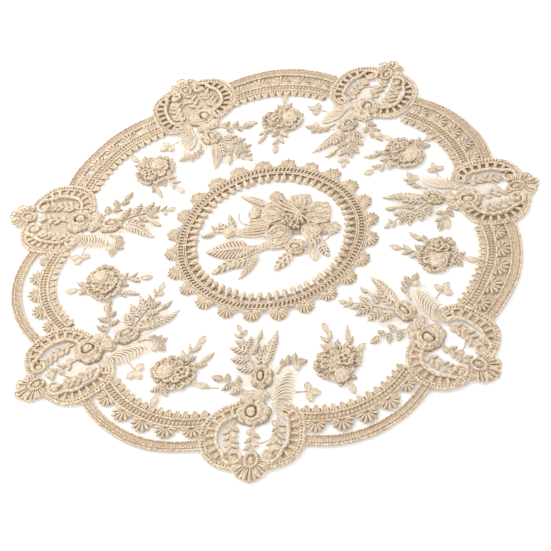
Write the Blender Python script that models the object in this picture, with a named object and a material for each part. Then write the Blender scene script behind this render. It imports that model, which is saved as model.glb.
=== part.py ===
"""Round lace doily: motifs of cord and satin stitch sewn on a sheer net ground, lying flat.

Seven equal sectors stand round the centre. In a sector +X is the way out from the centre
and +Y is sideways, so a place there is (reach, side). Metres, Z up.
"""
import math
from collections import namedtuple
from math import cos, pi, radians, sin

import bpy
import bmesh

MM = 0.001

# ---- driving dimensions ----
SECTORS = 7
TURN = 2 * pi / SECTORS
FIRST_AXIS = radians(-90)               # the first cartouche points along -Y
GAP = 0.3 * MM                          # clearance between pieces

NET_THICK = 1.0 * MM
NET_INSET = 0.8 * MM                    # the net stops this far inside the edge cords
APPLIED = NET_THICK + GAP               # underside of all that is sewn on the net

TAPE_HIGH = 1.4 * MM
BAND_HIGH = 1.6 * MM
SCROLL_HIGH = 1.8 * MM
SHELL_HIGH = 2.0 * MM
RING_HIGH = 1.8 * MM
LEAF_HIGH = 1.6 * MM
ROSE_HIGH = 2.6 * MM
BOSS_HIGH = 3.2 * MM

# A cartouche is a rounded oval round its own centre, of two scrolls with a shell between
# them at the outer tip and the large rose between their other ends.
CARTOUCHE_REACH = 164 * MM
CARTOUCHE_OUT = (26.5 * MM, 34 * MM)    # half sizes outward and sideways
CARTOUCHE_IN = (17 * MM, 21 * MM)
CARTOUCHE_POWER = 2.4                   # 2 is an ellipse, more is squarer
SCROLL_START = radians(27)              # outer edge, beside the shell
SCROLL_INNER_START = radians(22)        # inner edge, beside the shell
VOLUTE_ANGLE = radians(36)
VOLUTE_HALF_ANGLE = radians(16)
VOLUTE_RISE = 3.5 * MM                  # how far a volute stands into the opening
SCROLL_END_SIDE = 11.6 * MM             # the scrolls stop either side of the large rose
BLUNT_END = radians(135)                # on the +Y side a scroll stops here, beside the plume

# Shell: a scalloped fan over an oval bead, round a point of its own.
SHELL_REACH = 186 * MM
SHELL_TIP = 14 * MM
SHELL_SIDE = 11.4 * MM
SHELL_FAN_HALF = radians(76)
SHELL_SCALLOP = 0.5 * MM
SHELL_BEAD = 5.5 * MM

# Edge tape and border band are arcs of their own radius between two cartouches, and bulge
# outward. Arc: reach of the line halfway between cartouches, and its radius.
Arc = namedtuple("Arc", "mid_reach radius")
TAPE_EDGE = Arc(181.9 * MM, 90 * MM)    # the tape's outer edge
TAPE_WIDE = 7.6 * MM
BAND_LINE = Arc(157.5 * MM, 80 * MM)    # the middle of the band's braid

# Across the band, from the middle of its braid: teeth inside and small fans outside.
BRAID_HALF = 4.4 * MM
TOOTH_TIP = -10 * MM
TEETH = 13
FAN_TIP = 12.6 * MM
FANS = 5
FAN_SHARE = 0.84                        # of its pitch that a fan fills

# Centre ring: the same braid, closed.
RING_CENTRE = (-4.0 * MM, 1.5 * MM)      # as reach and side
RING_IN = 60 * MM
RING_OUT = 68.4 * MM
RING_TOOTH_TIP = 54 * MM
RING_FAN_TIP = 76.8 * MM
RING_FANS = 24
RING_FAN_POINTS = ((-0.5, 0.0), (-0.34, 0.55), (-0.14, 1.0), (0.14, 1.0), (0.34, 0.55))

# Roses and flower heads: centre as reach and side, half sizes the same way.
Head = namedtuple("Head", "reach side half_reach half_side scallops")
ROSE = Head(145 * MM, 0.0, 10.4 * MM, 10.4 * MM, 6)
SMALL_ROSE = Head(122.5 * MM, 2.6 * MM, 7.6 * MM, 7.6 * MM, 5)
NOSEGAY = Head(121.8 * MM, 2.1 * MM, 14 * MM, 18 * MM, 8)

# Leaves, in millimetres: from root to tip, as reach and side, and the greatest width.
Leaf = namedtuple("Leaf", "name root_reach root_side tip_reach tip_side width")
SPRAY_LEAVES = (
    Leaf("neck", 140, 0, 118, 2, 11),
    Leaf("feather", 119, 5, 84, 15.5, 8.5),
    Leaf("branch", 119, 1, 81, -13, 4.5),
    Leaf("branch side", 106, -3.5, 97, -15, 6),
    Leaf("branch fork", 100, -5, 89, 2, 6),
    Leaf("left", 138, -5, 124, -21, 7.5),
    Leaf("right sprig", 123, 6, 105, 31, 7),
    Leaf("plume", 136, 6, 117, 24, 13),
    Leaf("low plume", 138, 7, 143, 20, 7),
    Leaf("bud stem", 131, 10, 129, 37, 5),
)
SPRIG_LEAVES = (
    Leaf("left", 157.6, -10, 173, -11, 7),
    Leaf("middle", 157.4, 0, 175, 0, 7.5),
    Leaf("right", 157.6, 10, 173, 12, 7),
    Leaf("yoke left", 158.4, 2, 158.4, -13, 3),
    Leaf("yoke right", 158.4, -2, 158.4, 13, 3),
)
NOSEGAY_LEAVES = (
    Leaf("long", 113, 4, 85, 2, 6.5),
    Leaf("short", 113, 11, 97, 19, 6),
    Leaf("side", 120, 15, 119, 28, 5.5),
    Leaf("stem", 131, 1.5, 147, 3, 8),
)

# The spray at the centre stands in plan: here reach is X and side is Y.
Petal = namedtuple("Petal", "name angle length width")
BOSS = Head(16.6 * MM, 14.9 * MM, 8 * MM, 7 * MM, 6)
CENTRE_ROSE = Head(19.4 * MM, -7 * MM, 8.6 * MM, 8.6 * MM, 5)
PETALS = (
    Petal("top", 82, 29, 17),
    Petal("right", 31, 28, 21),
    Petal("low right", -34, 22, 13),
    Petal("low left", -142, 24, 19),
    Petal("left", 143, 25, 18),
)
CENTRE_LEAVES = (
    Leaf("top sprig", 4, 29, -24, 45, 9),
    Leaf("top bud", 12, 32, 2, 46, 10),
    Leaf("loop", 2, 20, -17, 31, 9),
    Leaf("scroll", 2, 14, -33, 8, 6),
    Leaf("scroll end", -26, 8, -35, 30, 8),
    Leaf("tendril", -26, 8.5, -50, 9, 3.6),
    Leaf("large", 6, 3, -44, -6, 15),
    Leaf("lower", 4, 3, -17, -34, 11),
    Leaf("curled", -3, -4, -37, -29, 11),
    Leaf("foot", 17, -7, 5.5, -27, 9),
    Leaf("right", 24, 2, 34, -19.5, 8),
    Leaf("far", 26, 1, 46, -13, 7),
    Leaf("right bud", 31, 8, 50, 9, 9),
)


def clear_scene():
    for old in list(bpy.data.objects):
        bpy.data.objects.remove(old)


def thread(name, color, roughness):
    """A plain cotton finish."""
    material = bpy.data.materials.new(name)
    material.use_nodes = True
    shader = material.node_tree.nodes["Principled BSDF"]
    shader.inputs["Base Color"].default_value = (*color, 1.0)
    shader.inputs["Roughness"].default_value = roughness
    shader.inputs["Metallic"].default_value = 0.0
    return material


# ---- outlines ----
def polar(radius, angle, centre=(0.0, 0.0)):
    return (centre[0] + radius * cos(angle), centre[1] + radius * sin(angle))


def between(low, high, count):
    """count values from low to high, both ends among them."""
    return [low + (high - low) * i / (count - 1) for i in range(count)]


def oval(half, angle, power=2.0):
    """Distance from an oval's centre to its edge at an angle."""
    across = abs(cos(angle) / half[0]) ** power + abs(sin(angle) / half[1]) ** power
    return across ** (-1 / power)


def split(inside, low, high):
    """The value where inside stops being true, between low and high."""
    for _ in range(40):
        middle = (low + high) / 2
        if inside(middle):
            low = middle
        else:
            high = middle
    return low


def cartouche_edge(angle):
    return oval(CARTOUCHE_OUT, angle, CARTOUCHE_POWER)


def cartouche_opening(angle):
    """The cartouche's inner edge, with the volutes that stand into the opening."""
    share = min(1.0, abs(abs(angle) - VOLUTE_ANGLE) / VOLUTE_HALF_ANGLE)
    return oval(CARTOUCHE_IN, angle) - VOLUTE_RISE * cos(share * pi / 2) ** 2


def shell_edge(angle):
    """The shell's edge from its own centre: a scalloped fan outward, a bead inward."""
    if abs(angle) > SHELL_FAN_HALF:
        return SHELL_BEAD
    scallop = SHELL_SCALLOP * (1 - cos(angle * 12))
    return oval((SHELL_TIP, SHELL_SIDE), angle) - scallop


def clear_of_cartouche(radius, from_gap_middle):
    """True where a point is outside the cartouche next to it with room to spare."""
    x, y = polar(radius, TURN / 2 - from_gap_middle, (-CARTOUCHE_REACH, 0.0))
    return math.hypot(x, y) >= cartouche_edge(math.atan2(y, x)) + 2 * GAP


def reach_round(radius_at):
    """How far round from the middle of a gap an edge runs before it meets a cartouche."""
    return split(lambda angle: clear_of_cartouche(radius_at(angle), angle), 0.0, TURN / 2)


def arc_reach(arc, offset, angle):
    """Reach of a line beside an arc, offset outward, at an angle from the middle of its gap."""
    middle = arc.mid_reach - arc.radius
    return middle * cos(angle) + math.sqrt((arc.radius + offset) ** 2 - (middle * sin(angle)) ** 2)


def net_reach(angle):
    """Reach of the net's edge, at an angle from the nearest cartouche's axis."""

    def in_cartouche(reach):
        x, y = polar(reach, angle, (-CARTOUCHE_REACH, 0.0))
        return math.hypot(x, y) < cartouche_edge(math.atan2(y, x))

    def in_shell(reach):
        x, y = polar(reach, angle, (-SHELL_REACH, 0.0))
        return math.hypot(x, y) < shell_edge(math.atan2(y, x))

    cartouche = split(in_cartouche, CARTOUCHE_REACH * cos(angle), 1.3 * CARTOUCHE_REACH)
    shell = split(in_shell, SHELL_REACH * cos(angle), 1.3 * SHELL_REACH)
    edge = arc_reach(TAPE_EDGE, 0.0, TURN / 2 - abs(angle))
    if shell - SHELL_REACH * cos(angle) > GAP:
        edge = max(edge, shell)
    return max(edge, cartouche) - NET_INSET


def leaf_outline(leaf):
    """A pointed leaf with a cut root, widest nearer the root."""
    run_x = leaf.tip_reach - leaf.root_reach
    run_y = leaf.tip_side - leaf.root_side
    long = math.hypot(run_x, run_y)
    side_x, side_y = -run_y / long * leaf.width / 2, run_x / long * leaf.width / 2
    shape = ((0, 0.5), (0.45, 1), (1, 0), (0.45, -1), (0, -0.5))
    return [
        (
            (leaf.root_reach + run_x * along + side_x * across) * MM,
            (leaf.root_side + run_y * along + side_y * across) * MM,
        )
        for along, across in shape
    ]


def head_outline(head):
    """A scalloped oval, two points to a scallop."""
    count = head.scallops * 2
    points = []
    for i in range(count):
        angle = 2 * pi * i / count
        scallop = 1.0 if i % 2 else 0.9
        edge = oval((head.half_reach, head.half_side), angle) * scallop
        points.append(polar(edge, angle, (head.reach, head.side)))
    return points


# ---- solids ----
def mesh_of(name, shape):
    bmesh.ops.recalc_face_normals(shape, faces=shape.faces)
    mesh = bpy.data.meshes.new(name)
    shape.to_mesh(mesh)
    shape.free()
    return mesh


def plate(name, outline, high, low=APPLIED):
    """A flat solid on a closed outline, as a mesh."""
    shape = bmesh.new()
    face = shape.faces.new([shape.verts.new((x, y, low)) for x, y in outline])
    top = bmesh.ops.extrude_face_region(shape, geom=[face])
    risen = [v for v in top["geom"] if isinstance(v, bmesh.types.BMVert)]
    bmesh.ops.translate(shape, verts=risen, vec=(0, 0, high))
    return mesh_of(name, shape)


def ring_plate(name, outer, inner, high):
    """A flat ring between two outlines that have the same number of points."""
    shape = bmesh.new()
    low = APPLIED
    corners = ((outer, low), (outer, low + high), (inner, low + high), (inner, low))
    loops = [[shape.verts.new((x, y, z)) for x, y in line] for line, z in corners]
    for here in range(len(outer)):
        after = (here + 1) % len(outer)
        for a, b in zip(loops, loops[1:] + loops[:1]):
            shape.faces.new((a[here], a[after], b[after], b[here]))
    return mesh_of(name, shape)


def joined(name, meshes):
    """One body of overlapping plates, by a Boolean union."""
    base, *others = [bpy.data.objects.new(f"{name}_part", mesh) for mesh in meshes]
    helpers = bpy.data.collections.new(f"{name}_helpers")
    bpy.context.scene.collection.objects.link(base)
    bpy.context.scene.collection.children.link(helpers)
    for other in others:
        helpers.objects.link(other)
    union = base.modifiers.new("join", "BOOLEAN")
    union.operation = "UNION"
    union.operand_type = "COLLECTION"
    union.collection = helpers
    union.solver = "EXACT"
    graph = bpy.context.evaluated_depsgraph_get()
    whole = bpy.data.meshes.new_from_object(base.evaluated_get(graph))
    for part in (base, *others):
        bpy.data.objects.remove(part)
    bpy.data.collections.remove(helpers)
    shape = bmesh.new()
    shape.from_mesh(whole)
    bmesh.ops.dissolve_limit(
        shape, angle_limit=radians(0.5), verts=shape.verts, edges=shape.edges
    )
    return mesh_of(name, shape)


def place(name, mesh, material, angle=0.0):
    if not mesh.materials:
        mesh.materials.append(material)
    node = bpy.data.objects.new(name, mesh)
    node.rotation_euler.z = angle
    bpy.context.scene.collection.objects.link(node)


# ---- pieces ----
def net_ground():
    """The sheer ground that carries every motif, cut just inside the edge cords."""
    steps = 28
    outline = []
    for sector in range(SECTORS):
        axis = FIRST_AXIS + sector * TURN
        for i in range(steps):
            angle = -TURN / 2 + TURN * i / steps
            outline.append(polar(net_reach(angle), axis + angle))
    return plate("net_ground", outline, NET_THICK, low=0.0)


def tape():
    """One arc of the outer tape, centred on the middle of a gap."""

    def outer(angle):
        return arc_reach(TAPE_EDGE, 0.0, angle)

    def inner(angle):
        return arc_reach(TAPE_EDGE, -TAPE_WIDE, angle)

    out_end, in_end = reach_round(outer), reach_round(inner)
    outline = [polar(outer(a), a) for a in between(-out_end, out_end, 10)]
    outline += [polar(inner(a), a) for a in between(in_end, -in_end, 9)]
    return plate("tape", outline, TAPE_HIGH)


def band():
    """One arc of the border braid, a comb of teeth along its inside and of fans outside."""
    fan_middle = (BRAID_HALF + FAN_TIP) / 2

    def on_band(offset, angle):
        return polar(arc_reach(BAND_LINE, offset, angle), angle)

    def end_at(offset):
        return reach_round(lambda angle: arc_reach(BAND_LINE, offset, angle))

    in_end, line_end, out_end = [end_at(side * BRAID_HALF) for side in (-1, 0, 1)]
    outline = [on_band(0.0, -line_end), on_band(BRAID_HALF, -out_end)]
    fan_end = min(out_end, end_at(fan_middle))
    pitch = 2 * fan_end / FANS
    half = pitch * FAN_SHARE / 2
    for i in range(FANS):
        middle = -fan_end + pitch * (i + 0.5)
        outline += [
            on_band(BRAID_HALF, middle - half * 0.6),
            on_band(fan_middle, middle - half),
            on_band(FAN_TIP, middle - half * 0.45),
            on_band(FAN_TIP, middle + half * 0.45),
            on_band(fan_middle, middle + half),
            on_band(BRAID_HALF, middle + half * 0.6),
        ]
    outline += [on_band(BRAID_HALF, out_end), on_band(0.0, line_end)]
    outline.append(on_band(-BRAID_HALF, in_end))
    for i in range(2 * TEETH - 1):
        angle = in_end - in_end * (i + 1) / TEETH
        outline.append(on_band(-BRAID_HALF if i % 2 else TOOTH_TIP, angle))
    outline.append(on_band(-BRAID_HALF, -in_end))
    return plate("band", outline, BAND_HIGH)


def scroll(side):
    """One C-scroll of a cartouche, on the +Y side or, with side -1, on the other."""
    centre = (CARTOUCHE_REACH, 0.0)
    stop = BLUNT_END if side > 0 else pi

    def end_of(edge):
        return min(stop, split(lambda a: edge(a) * sin(a) > SCROLL_END_SIDE, pi / 2, pi))

    outer = between(SCROLL_START, end_of(cartouche_edge), 13)
    inner = between(end_of(cartouche_opening), SCROLL_INNER_START, 14)
    outline = [polar(cartouche_edge(a), side * a, centre) for a in outer]
    outline += [polar(cartouche_opening(a), side * a, centre) for a in inner]
    return plate("scroll", outline, SCROLL_HIGH)


def shell():
    """The ribbed shell at a cartouche's outer tip."""
    fan = between(-SHELL_FAN_HALF, SHELL_FAN_HALF, 13)
    bead = between(radians(105), radians(255), 6)
    centre = (SHELL_REACH, 0.0)
    outline = [polar(shell_edge(a), a, centre) for a in fan]
    outline += [polar(SHELL_BEAD, a, centre) for a in bead]
    return plate("shell", outline, SHELL_HIGH)


def leaves(table):
    return [plate(leaf.name, leaf_outline(leaf), LEAF_HIGH) for leaf in table]


def rose_spray():
    """The two roses of a cartouche and the leaves that run in towards the centre."""
    roses = [plate("rose", head_outline(head), ROSE_HIGH) for head in (ROSE, SMALL_ROSE)]
    return joined("rose_spray", roses + leaves(SPRAY_LEAVES))


def sprigs():
    """Three small sprigs on a yoke, which hang in a cartouche's opening."""
    return joined("sprigs", leaves(SPRIG_LEAVES))


def bouquet():
    """The nosegay between two cartouches."""
    head = plate("nosegay", head_outline(NOSEGAY), ROSE_HIGH)
    return joined("bouquet", [head] + leaves(NOSEGAY_LEAVES))


def centre_ring():
    """The closed braid round the centre spray, teeth inside and fans outside."""

    def on_ring(radius, share):
        return polar(radius, 2 * pi * share, RING_CENTRE)

    outer = [
        on_ring(RING_OUT + (RING_FAN_TIP - RING_OUT) * rise, (fan + share) / RING_FANS)
        for fan in range(RING_FANS)
        for share, rise in RING_FAN_POINTS
    ]
    inner = [
        on_ring(RING_IN if i % 2 else RING_TOOTH_TIP, i / len(outer) - 0.5 / RING_FANS)
        for i in range(len(outer))
    ]
    return ring_plate("centre_ring", outer, inner, RING_HIGH)


def petal_outline(petal):
    """An oval petal that starts near the middle of the flower's boss."""
    turn = radians(petal.angle)
    long = petal.length * MM
    centre = polar(long * 0.58, turn, (BOSS.reach, BOSS.side))
    half = (long * 0.44, petal.width * MM / 2)
    return [polar(oval(half, a), a + turn, centre) for a in between(0, 2 * pi, 13)[:-1]]


def centre_spray():
    """The open flower, its bud rose and the leaves and stems that run out to the ring."""
    parts = [
        plate("boss", head_outline(BOSS), BOSS_HIGH),
        plate("bud_rose", head_outline(CENTRE_ROSE), ROSE_HIGH),
    ]
    parts += [plate(petal.name, petal_outline(petal), ROSE_HIGH) for petal in PETALS]
    return joined("centre_spray", parts + leaves(CENTRE_LEAVES))


def main():
    clear_scene()
    net_thread = thread("net thread", (0.78, 0.70, 0.58), 0.9)
    braid_thread = thread("braid thread", (0.80, 0.68, 0.52), 0.8)
    flower_thread = thread("flower thread", (0.83, 0.74, 0.60), 0.75)
    leaf_thread = thread("leaf thread", (0.81, 0.71, 0.56), 0.75)

    on_axis = (
        ("scroll_left", scroll(1), braid_thread),
        ("scroll_right", scroll(-1), braid_thread),
        ("shell", shell(), braid_thread),
        ("rose_spray", rose_spray(), flower_thread),
        ("sprigs", sprigs(), leaf_thread),
    )
    in_gap = (
        ("tape", tape(), braid_thread),
        ("band", band(), braid_thread),
        ("bouquet", bouquet(), flower_thread),
    )
    for sector in range(SECTORS):
        axis = FIRST_AXIS + sector * TURN
        for name, mesh, material in on_axis:
            place(f"{name}_{sector + 1}", mesh, material, axis)
        for name, mesh, material in in_gap:
            place(f"{name}_{sector + 1}", mesh, material, axis + TURN / 2)
    place("net_ground", net_ground(), net_thread)
    place("centre_ring", centre_ring(), braid_thread, FIRST_AXIS)
    place("centre_spray", centre_spray(), flower_thread)


main()
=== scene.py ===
import math
import random

import bpy
import numpy
from mathutils import Matrix, Vector


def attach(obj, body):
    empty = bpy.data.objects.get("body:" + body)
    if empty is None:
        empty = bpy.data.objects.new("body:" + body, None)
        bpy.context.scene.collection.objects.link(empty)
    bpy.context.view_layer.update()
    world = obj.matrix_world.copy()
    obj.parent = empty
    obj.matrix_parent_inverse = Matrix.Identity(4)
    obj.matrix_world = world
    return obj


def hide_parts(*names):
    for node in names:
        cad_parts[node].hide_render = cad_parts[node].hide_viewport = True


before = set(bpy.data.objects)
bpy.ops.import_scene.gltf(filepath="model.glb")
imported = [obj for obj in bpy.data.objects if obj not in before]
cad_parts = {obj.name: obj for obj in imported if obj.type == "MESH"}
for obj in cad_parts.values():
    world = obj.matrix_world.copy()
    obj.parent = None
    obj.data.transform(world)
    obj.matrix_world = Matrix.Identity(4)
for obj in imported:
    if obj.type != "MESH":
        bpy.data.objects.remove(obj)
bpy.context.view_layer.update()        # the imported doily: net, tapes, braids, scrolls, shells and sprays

chance = random.Random(7)

# Motifs are modelled in millimetres. In a sector +X is the way out from the centre and +Y is
# sideways, so a spot is (reach, side).
sectors = 7
turn = 2 * math.pi / sectors
firstAxis = math.radians(-90)
onNet = 1.02             # height at which sewn-on threads start


# Small helpers.


def activate(obj):
    if bpy.context.object and bpy.context.object.mode != "OBJECT":
        bpy.ops.object.mode_set(mode="OBJECT")
    bpy.ops.object.select_all(action="DESELECT")
    obj.select_set(True)
    bpy.context.view_layer.objects.active = obj


def joinParts(name, parts):
    activate(parts[0])
    for part in parts:
        part.select_set(True)
    bpy.ops.object.join()
    whole = bpy.context.object
    whole.name = name
    whole.data.name = name
    return whole


def polar(radius, angle, centre=(0, 0)):
    return centre[0] + radius * math.cos(angle), centre[1] + radius * math.sin(angle)


def spread(low, high, count):
    return [low + (high - low) * i / (count - 1) for i in range(count)]


def smoothRoute(spots, perSpan=6):
    # a soft curve through given spots, which may carry more values than x and y
    ends = [spots[0]] + list(spots) + [spots[-1]]
    route = []
    for a, b, c, d in zip(ends, ends[1:], ends[2:], ends[3:]):
        for i in range(perSpan):
            t = i / perSpan
            route.append(tuple(
                0.5 * (2 * q + (r - p) * t + (2 * p - 5 * q + 4 * r - s) * t * t
                       + (3 * q - p - 3 * r + s) * t ** 3)
                for p, q, r, s in zip(a, b, c, d)))
    route.append(tuple(spots[-1]))
    return route


def evenly(route, step):
    # spots at equal steps along a flat route, each with its heading
    lengths = [0]
    for a, b in zip(route, route[1:]):
        lengths.append(lengths[-1] + math.dist(a[:2], b[:2]))
    count = max(2, round(lengths[-1] / step) + 1)
    spots = []
    i = 0
    for d in spread(0, lengths[-1], count):
        while i < len(route) - 2 and lengths[i + 1] < d:
            i += 1
        a, b = route[i], route[i + 1]
        t = (d - lengths[i]) / max(1e-9, lengths[i + 1] - lengths[i])
        spots.append((a[0] + (b[0] - a[0]) * t, a[1] + (b[1] - a[1]) * t,
                      math.atan2(b[1] - a[1], b[0] - a[0])))
    return spots


def beside(spot, offset, ahead=0):
    # a point to the left of a spot on a route, and ahead of it
    x, y, heading = spot
    return (x - offset * math.sin(heading) + ahead * math.cos(heading),
            y + offset * math.cos(heading) + ahead * math.sin(heading))


def stitch(spot, rows):
    # a stitch across a route: rows of left, ahead, height and share of the thread's width
    return [(*beside(spot, left, ahead), onNet + z, share) for left, ahead, z, share in rows]


# Threads and padded stitches.


def threads(name, routes, width, finish, sides=6):
    # tubes along routes of x, y, height and, where it varies, share of the width
    curve = bpy.data.curves.new(name, "CURVE")
    curve.dimensions = "3D"
    curve.bevel_depth = width / 2
    curve.bevel_resolution = (sides - 4) // 2
    curve.use_fill_caps = True
    for route in routes:
        spline = curve.splines.new("POLY")
        spline.points.add(len(route) - 1)
        for point, spot in zip(spline.points, route):
            point.co = (*spot[:3], 1)
            point.radius = spot[3] if len(spot) > 3 else 1
    obj = bpy.data.objects.new(name, curve)
    bpy.context.collection.objects.link(obj)
    activate(obj)
    bpy.ops.object.convert(target="MESH")
    bpy.ops.object.shade_smooth()
    obj.data.materials.clear()
    obj.data.materials.append(finish)
    return obj


def beaded(route, height, pitch=2.3, dip=0.74):
    # the line of a stitched cord, which swells and dips at each stitch
    return [(x, y, height, 1 if i % 2 else dip)
            for i, (x, y, _) in enumerate(evenly(route, pitch / 2))]


def padded(name, columns, rows, surface, finish, size=(1, 1)):
    # a grid raised to surface(u, v), u from 0 to 1 and v from -1 to 1, and closed below
    bpy.ops.object.select_all(action="DESELECT")
    bpy.ops.mesh.primitive_grid_add(x_subdivisions=columns, y_subdivisions=rows, size=1)
    obj = bpy.context.object
    obj.name = name
    for corner in obj.data.uv_layers[0].data:       # threads are laid in millimetres
        corner.uv = (corner.uv[0] * size[0], corner.uv[1] * size[1])
    for vertex in obj.data.vertices:
        vertex.co = surface(vertex.co.x + 0.5, vertex.co.y * 2)
    bpy.ops.object.mode_set(mode="EDIT")
    bpy.ops.mesh.select_mode(type="EDGE")
    bpy.ops.mesh.select_all(action="SELECT")
    bpy.ops.mesh.remove_doubles(threshold=0.01)
    bpy.ops.mesh.region_to_loop()
    bpy.ops.mesh.extrude_region_move(TRANSFORM_OT_translate={"value": (0, 0, -0.2)})
    bpy.ops.transform.resize(value=(1, 1, 0), center_override=(0, 0, onNet))
    bpy.ops.mesh.edge_face_add()
    bpy.ops.mesh.select_all(action="SELECT")
    bpy.ops.mesh.normals_make_consistent(inside=False)
    bpy.ops.object.mode_set(mode="OBJECT")
    bpy.ops.object.shade_smooth_by_angle(angle=math.radians(50))
    obj.data.materials.append(finish)
    return obj


def put(motif, x, y, angle=0.0, size=1.0, lift=0.0, wide=None, tall=None):
    # a copy of a motif with its own mesh, at a spot, turned by degrees and raised by lift
    copy = motif.copy()
    copy.data = motif.data.copy()
    bpy.context.collection.objects.link(copy)
    across = size if wide is None else wide
    up = 0.4 + 0.6 * size if tall is None else tall
    copy.data.transform(Matrix.Translation((x, y, onNet + lift))
                        @ Matrix.Rotation(math.radians(angle), 4, "Z")
                        @ Matrix.Diagonal((size, across, up, 1))
                        @ Matrix.Translation((0, 0, -onNet)))
    return copy


def place(motif, root, tip, wide=1.0, lift=0.0):
    # a leaf or petal, modelled 10 mm long, stretched from its root to its tip
    length = math.dist(root, tip) / 10
    heading = math.degrees(math.atan2(tip[1] - root[1], tip[0] - root[0]))
    return put(motif, *root, heading, length, lift, wide, 0.75 + 0.25 * min(1.6, length))


def discard(*motifs):
    for motif in motifs:
        bpy.data.objects.remove(motif)


# How the cloth lies, and how a piece is laid on it.
clothPulls = (
    # outward and sideways pull of the rim, at each cartouche and each gap in turn
    (2.6, 4.3), (6.6, 2.2), (1.4, -1.6), (-1.5, -0.2), (-4.0, -3.4), (-5.4, -3.6), (-2.1, -1.2),
    (-1.9, -0.9), (-2.2, 0.9), (-3.8, 2.0), (-0.8, 7.6), (6.0, 4.3), (2.8, 2.2), (5.0, 2.8),
)
sprayPulls = (
    # the same for the inner ends of the sprays, where the net gives more
    (-3.6, 2.8), (0, 2), (-3.8, 5.6), (0, 4), (-0.8, 4.3), (1, 2), (2.1, -1.1),
    (0, -1), (-3.1, -3.2), (0, -1), (-2.5, -0.3), (0, 2), (-2.9, 5.9), (0, 2),
)
ringPull = (1.5, 2.3)    # the centre ring sits a little off the middle
pullFrom = {
    # where each pull starts from the centre and how far it takes to grow, or to fade at ringEnd
    "rim": (100, 50), "spray": (76, 22), "ring": (46, 5), "ringEnd": (92, 16),
}


def easeIn(values):
    part = numpy.clip(values, 0, 1)
    return part * part * (3 - 2 * part)


def settle(mesh, stretched=True):
    # laid by hand, the cloth is never quite regular: every piece goes through the same drift,
    # and a stretched one follows the pulls too
    flat = numpy.empty(len(mesh.vertices) * 3)
    mesh.vertices.foreach_get("co", flat)
    x, y = flat[0::3].copy(), flat[1::3].copy()
    if stretched:
        reach = numpy.hypot(x, y) + 1e-6
        spot = (numpy.arctan2(y, x) - firstAxis) / (turn / 2) % (2 * sectors)
        before = spot.astype(int) % (2 * sectors)
        ease = easeIn(spot - numpy.floor(spot))[:, None]
        rimward, sprayward, past = [easeIn((reach - low) / width) for low, width in
                                    (pullFrom["rim"], pullFrom["spray"], pullFrom["ring"])]
        sprayward *= 1 - rimward
        inward = easeIn((pullFrom["ringEnd"][0] - reach) / pullFrom["ringEnd"][1]) * past
        flat[0::3] += inward * ringPull[0]
        flat[1::3] += inward * ringPull[1]
        for table, share in ((clothPulls, rimward), (sprayPulls, sprayward)):
            pulls = numpy.array(table)
            out, side = (pulls[before] * (1 - ease)
                         + pulls[(before + 1) % (2 * sectors)] * ease).T * share
            flat[0::3] += (out * x - side * y) / reach
            flat[1::3] += (out * y + side * x) / reach
    flat[0::3] += 0.3 * numpy.sin(y / 17 + 0.6) + 0.22 * numpy.sin((x + y) / 9)
    flat[1::3] += 0.3 * numpy.sin(x / 19 + 2.1) + 0.22 * numpy.sin((x - y) / 10 + 1)
    flat[2::3] += 0.18 * (1 + numpy.sin(x / 23 + 1.2) * numpy.cos(y / 27 + 0.5))
    mesh.vertices.foreach_set("co", flat)


def sew(motif, name, angle, solidName, shift=(0, 0), stretched=True):
    # lays a copy of a piece at its angle and shift, in metres, in place of its solid
    piece = motif.copy()
    piece.data = motif.data.copy()
    piece.name = name
    piece.data.name = name
    bpy.context.collection.objects.link(piece)
    piece.data.transform(Matrix.Rotation(angle, 4, "Z") @ Matrix.Translation((*shift, 0)))
    settle(piece.data, stretched)
    piece.data.transform(Matrix.Scale(0.001, 4))
    piece.data.update()
    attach(piece, "root")
    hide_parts(solidName)
    return piece


# Finishes.


def newGroup(name, inputs, outputs):
    group = bpy.data.node_groups.new(name, "ShaderNodeTree")
    for label, kind, value in inputs:
        socket = group.interface.new_socket(label, in_out="INPUT", socket_type=kind)
        socket.default_value = value
    for label, kind in outputs:
        group.interface.new_socket(label, in_out="OUTPUT", socket_type=kind)
    start = group.nodes.new("NodeGroupInput")
    end = group.nodes.new("NodeGroupOutput")
    return group, start, end


def feed(tree, made, inputs):
    # gives inputs their values, or links them to the sockets that feed them
    for label, source in inputs.items():
        if isinstance(source, bpy.types.NodeSocket):
            tree.links.new(source, made.inputs[label])
        else:
            made.inputs[label].default_value = source


def node(tree, kind, inputs, **settings):
    made = tree.nodes.new(kind)
    for key, value in settings.items():
        setattr(made, key, value)
    feed(tree, made, inputs)
    return made


def reckon(tree, operation, *values, clamp=False):
    return node(tree, "ShaderNodeMath", dict(enumerate(values)), operation=operation,
                use_clamp=clamp).outputs[0]


def colourSocket(mix):
    return next(s for s in mix.outputs if s.type == "RGBA" and s.enabled)


def newFinish(name):
    material = bpy.data.materials.new(name)
    material.use_nodes = True
    return material, material.node_tree, material.node_tree.nodes["Principled BSDF"]


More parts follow.
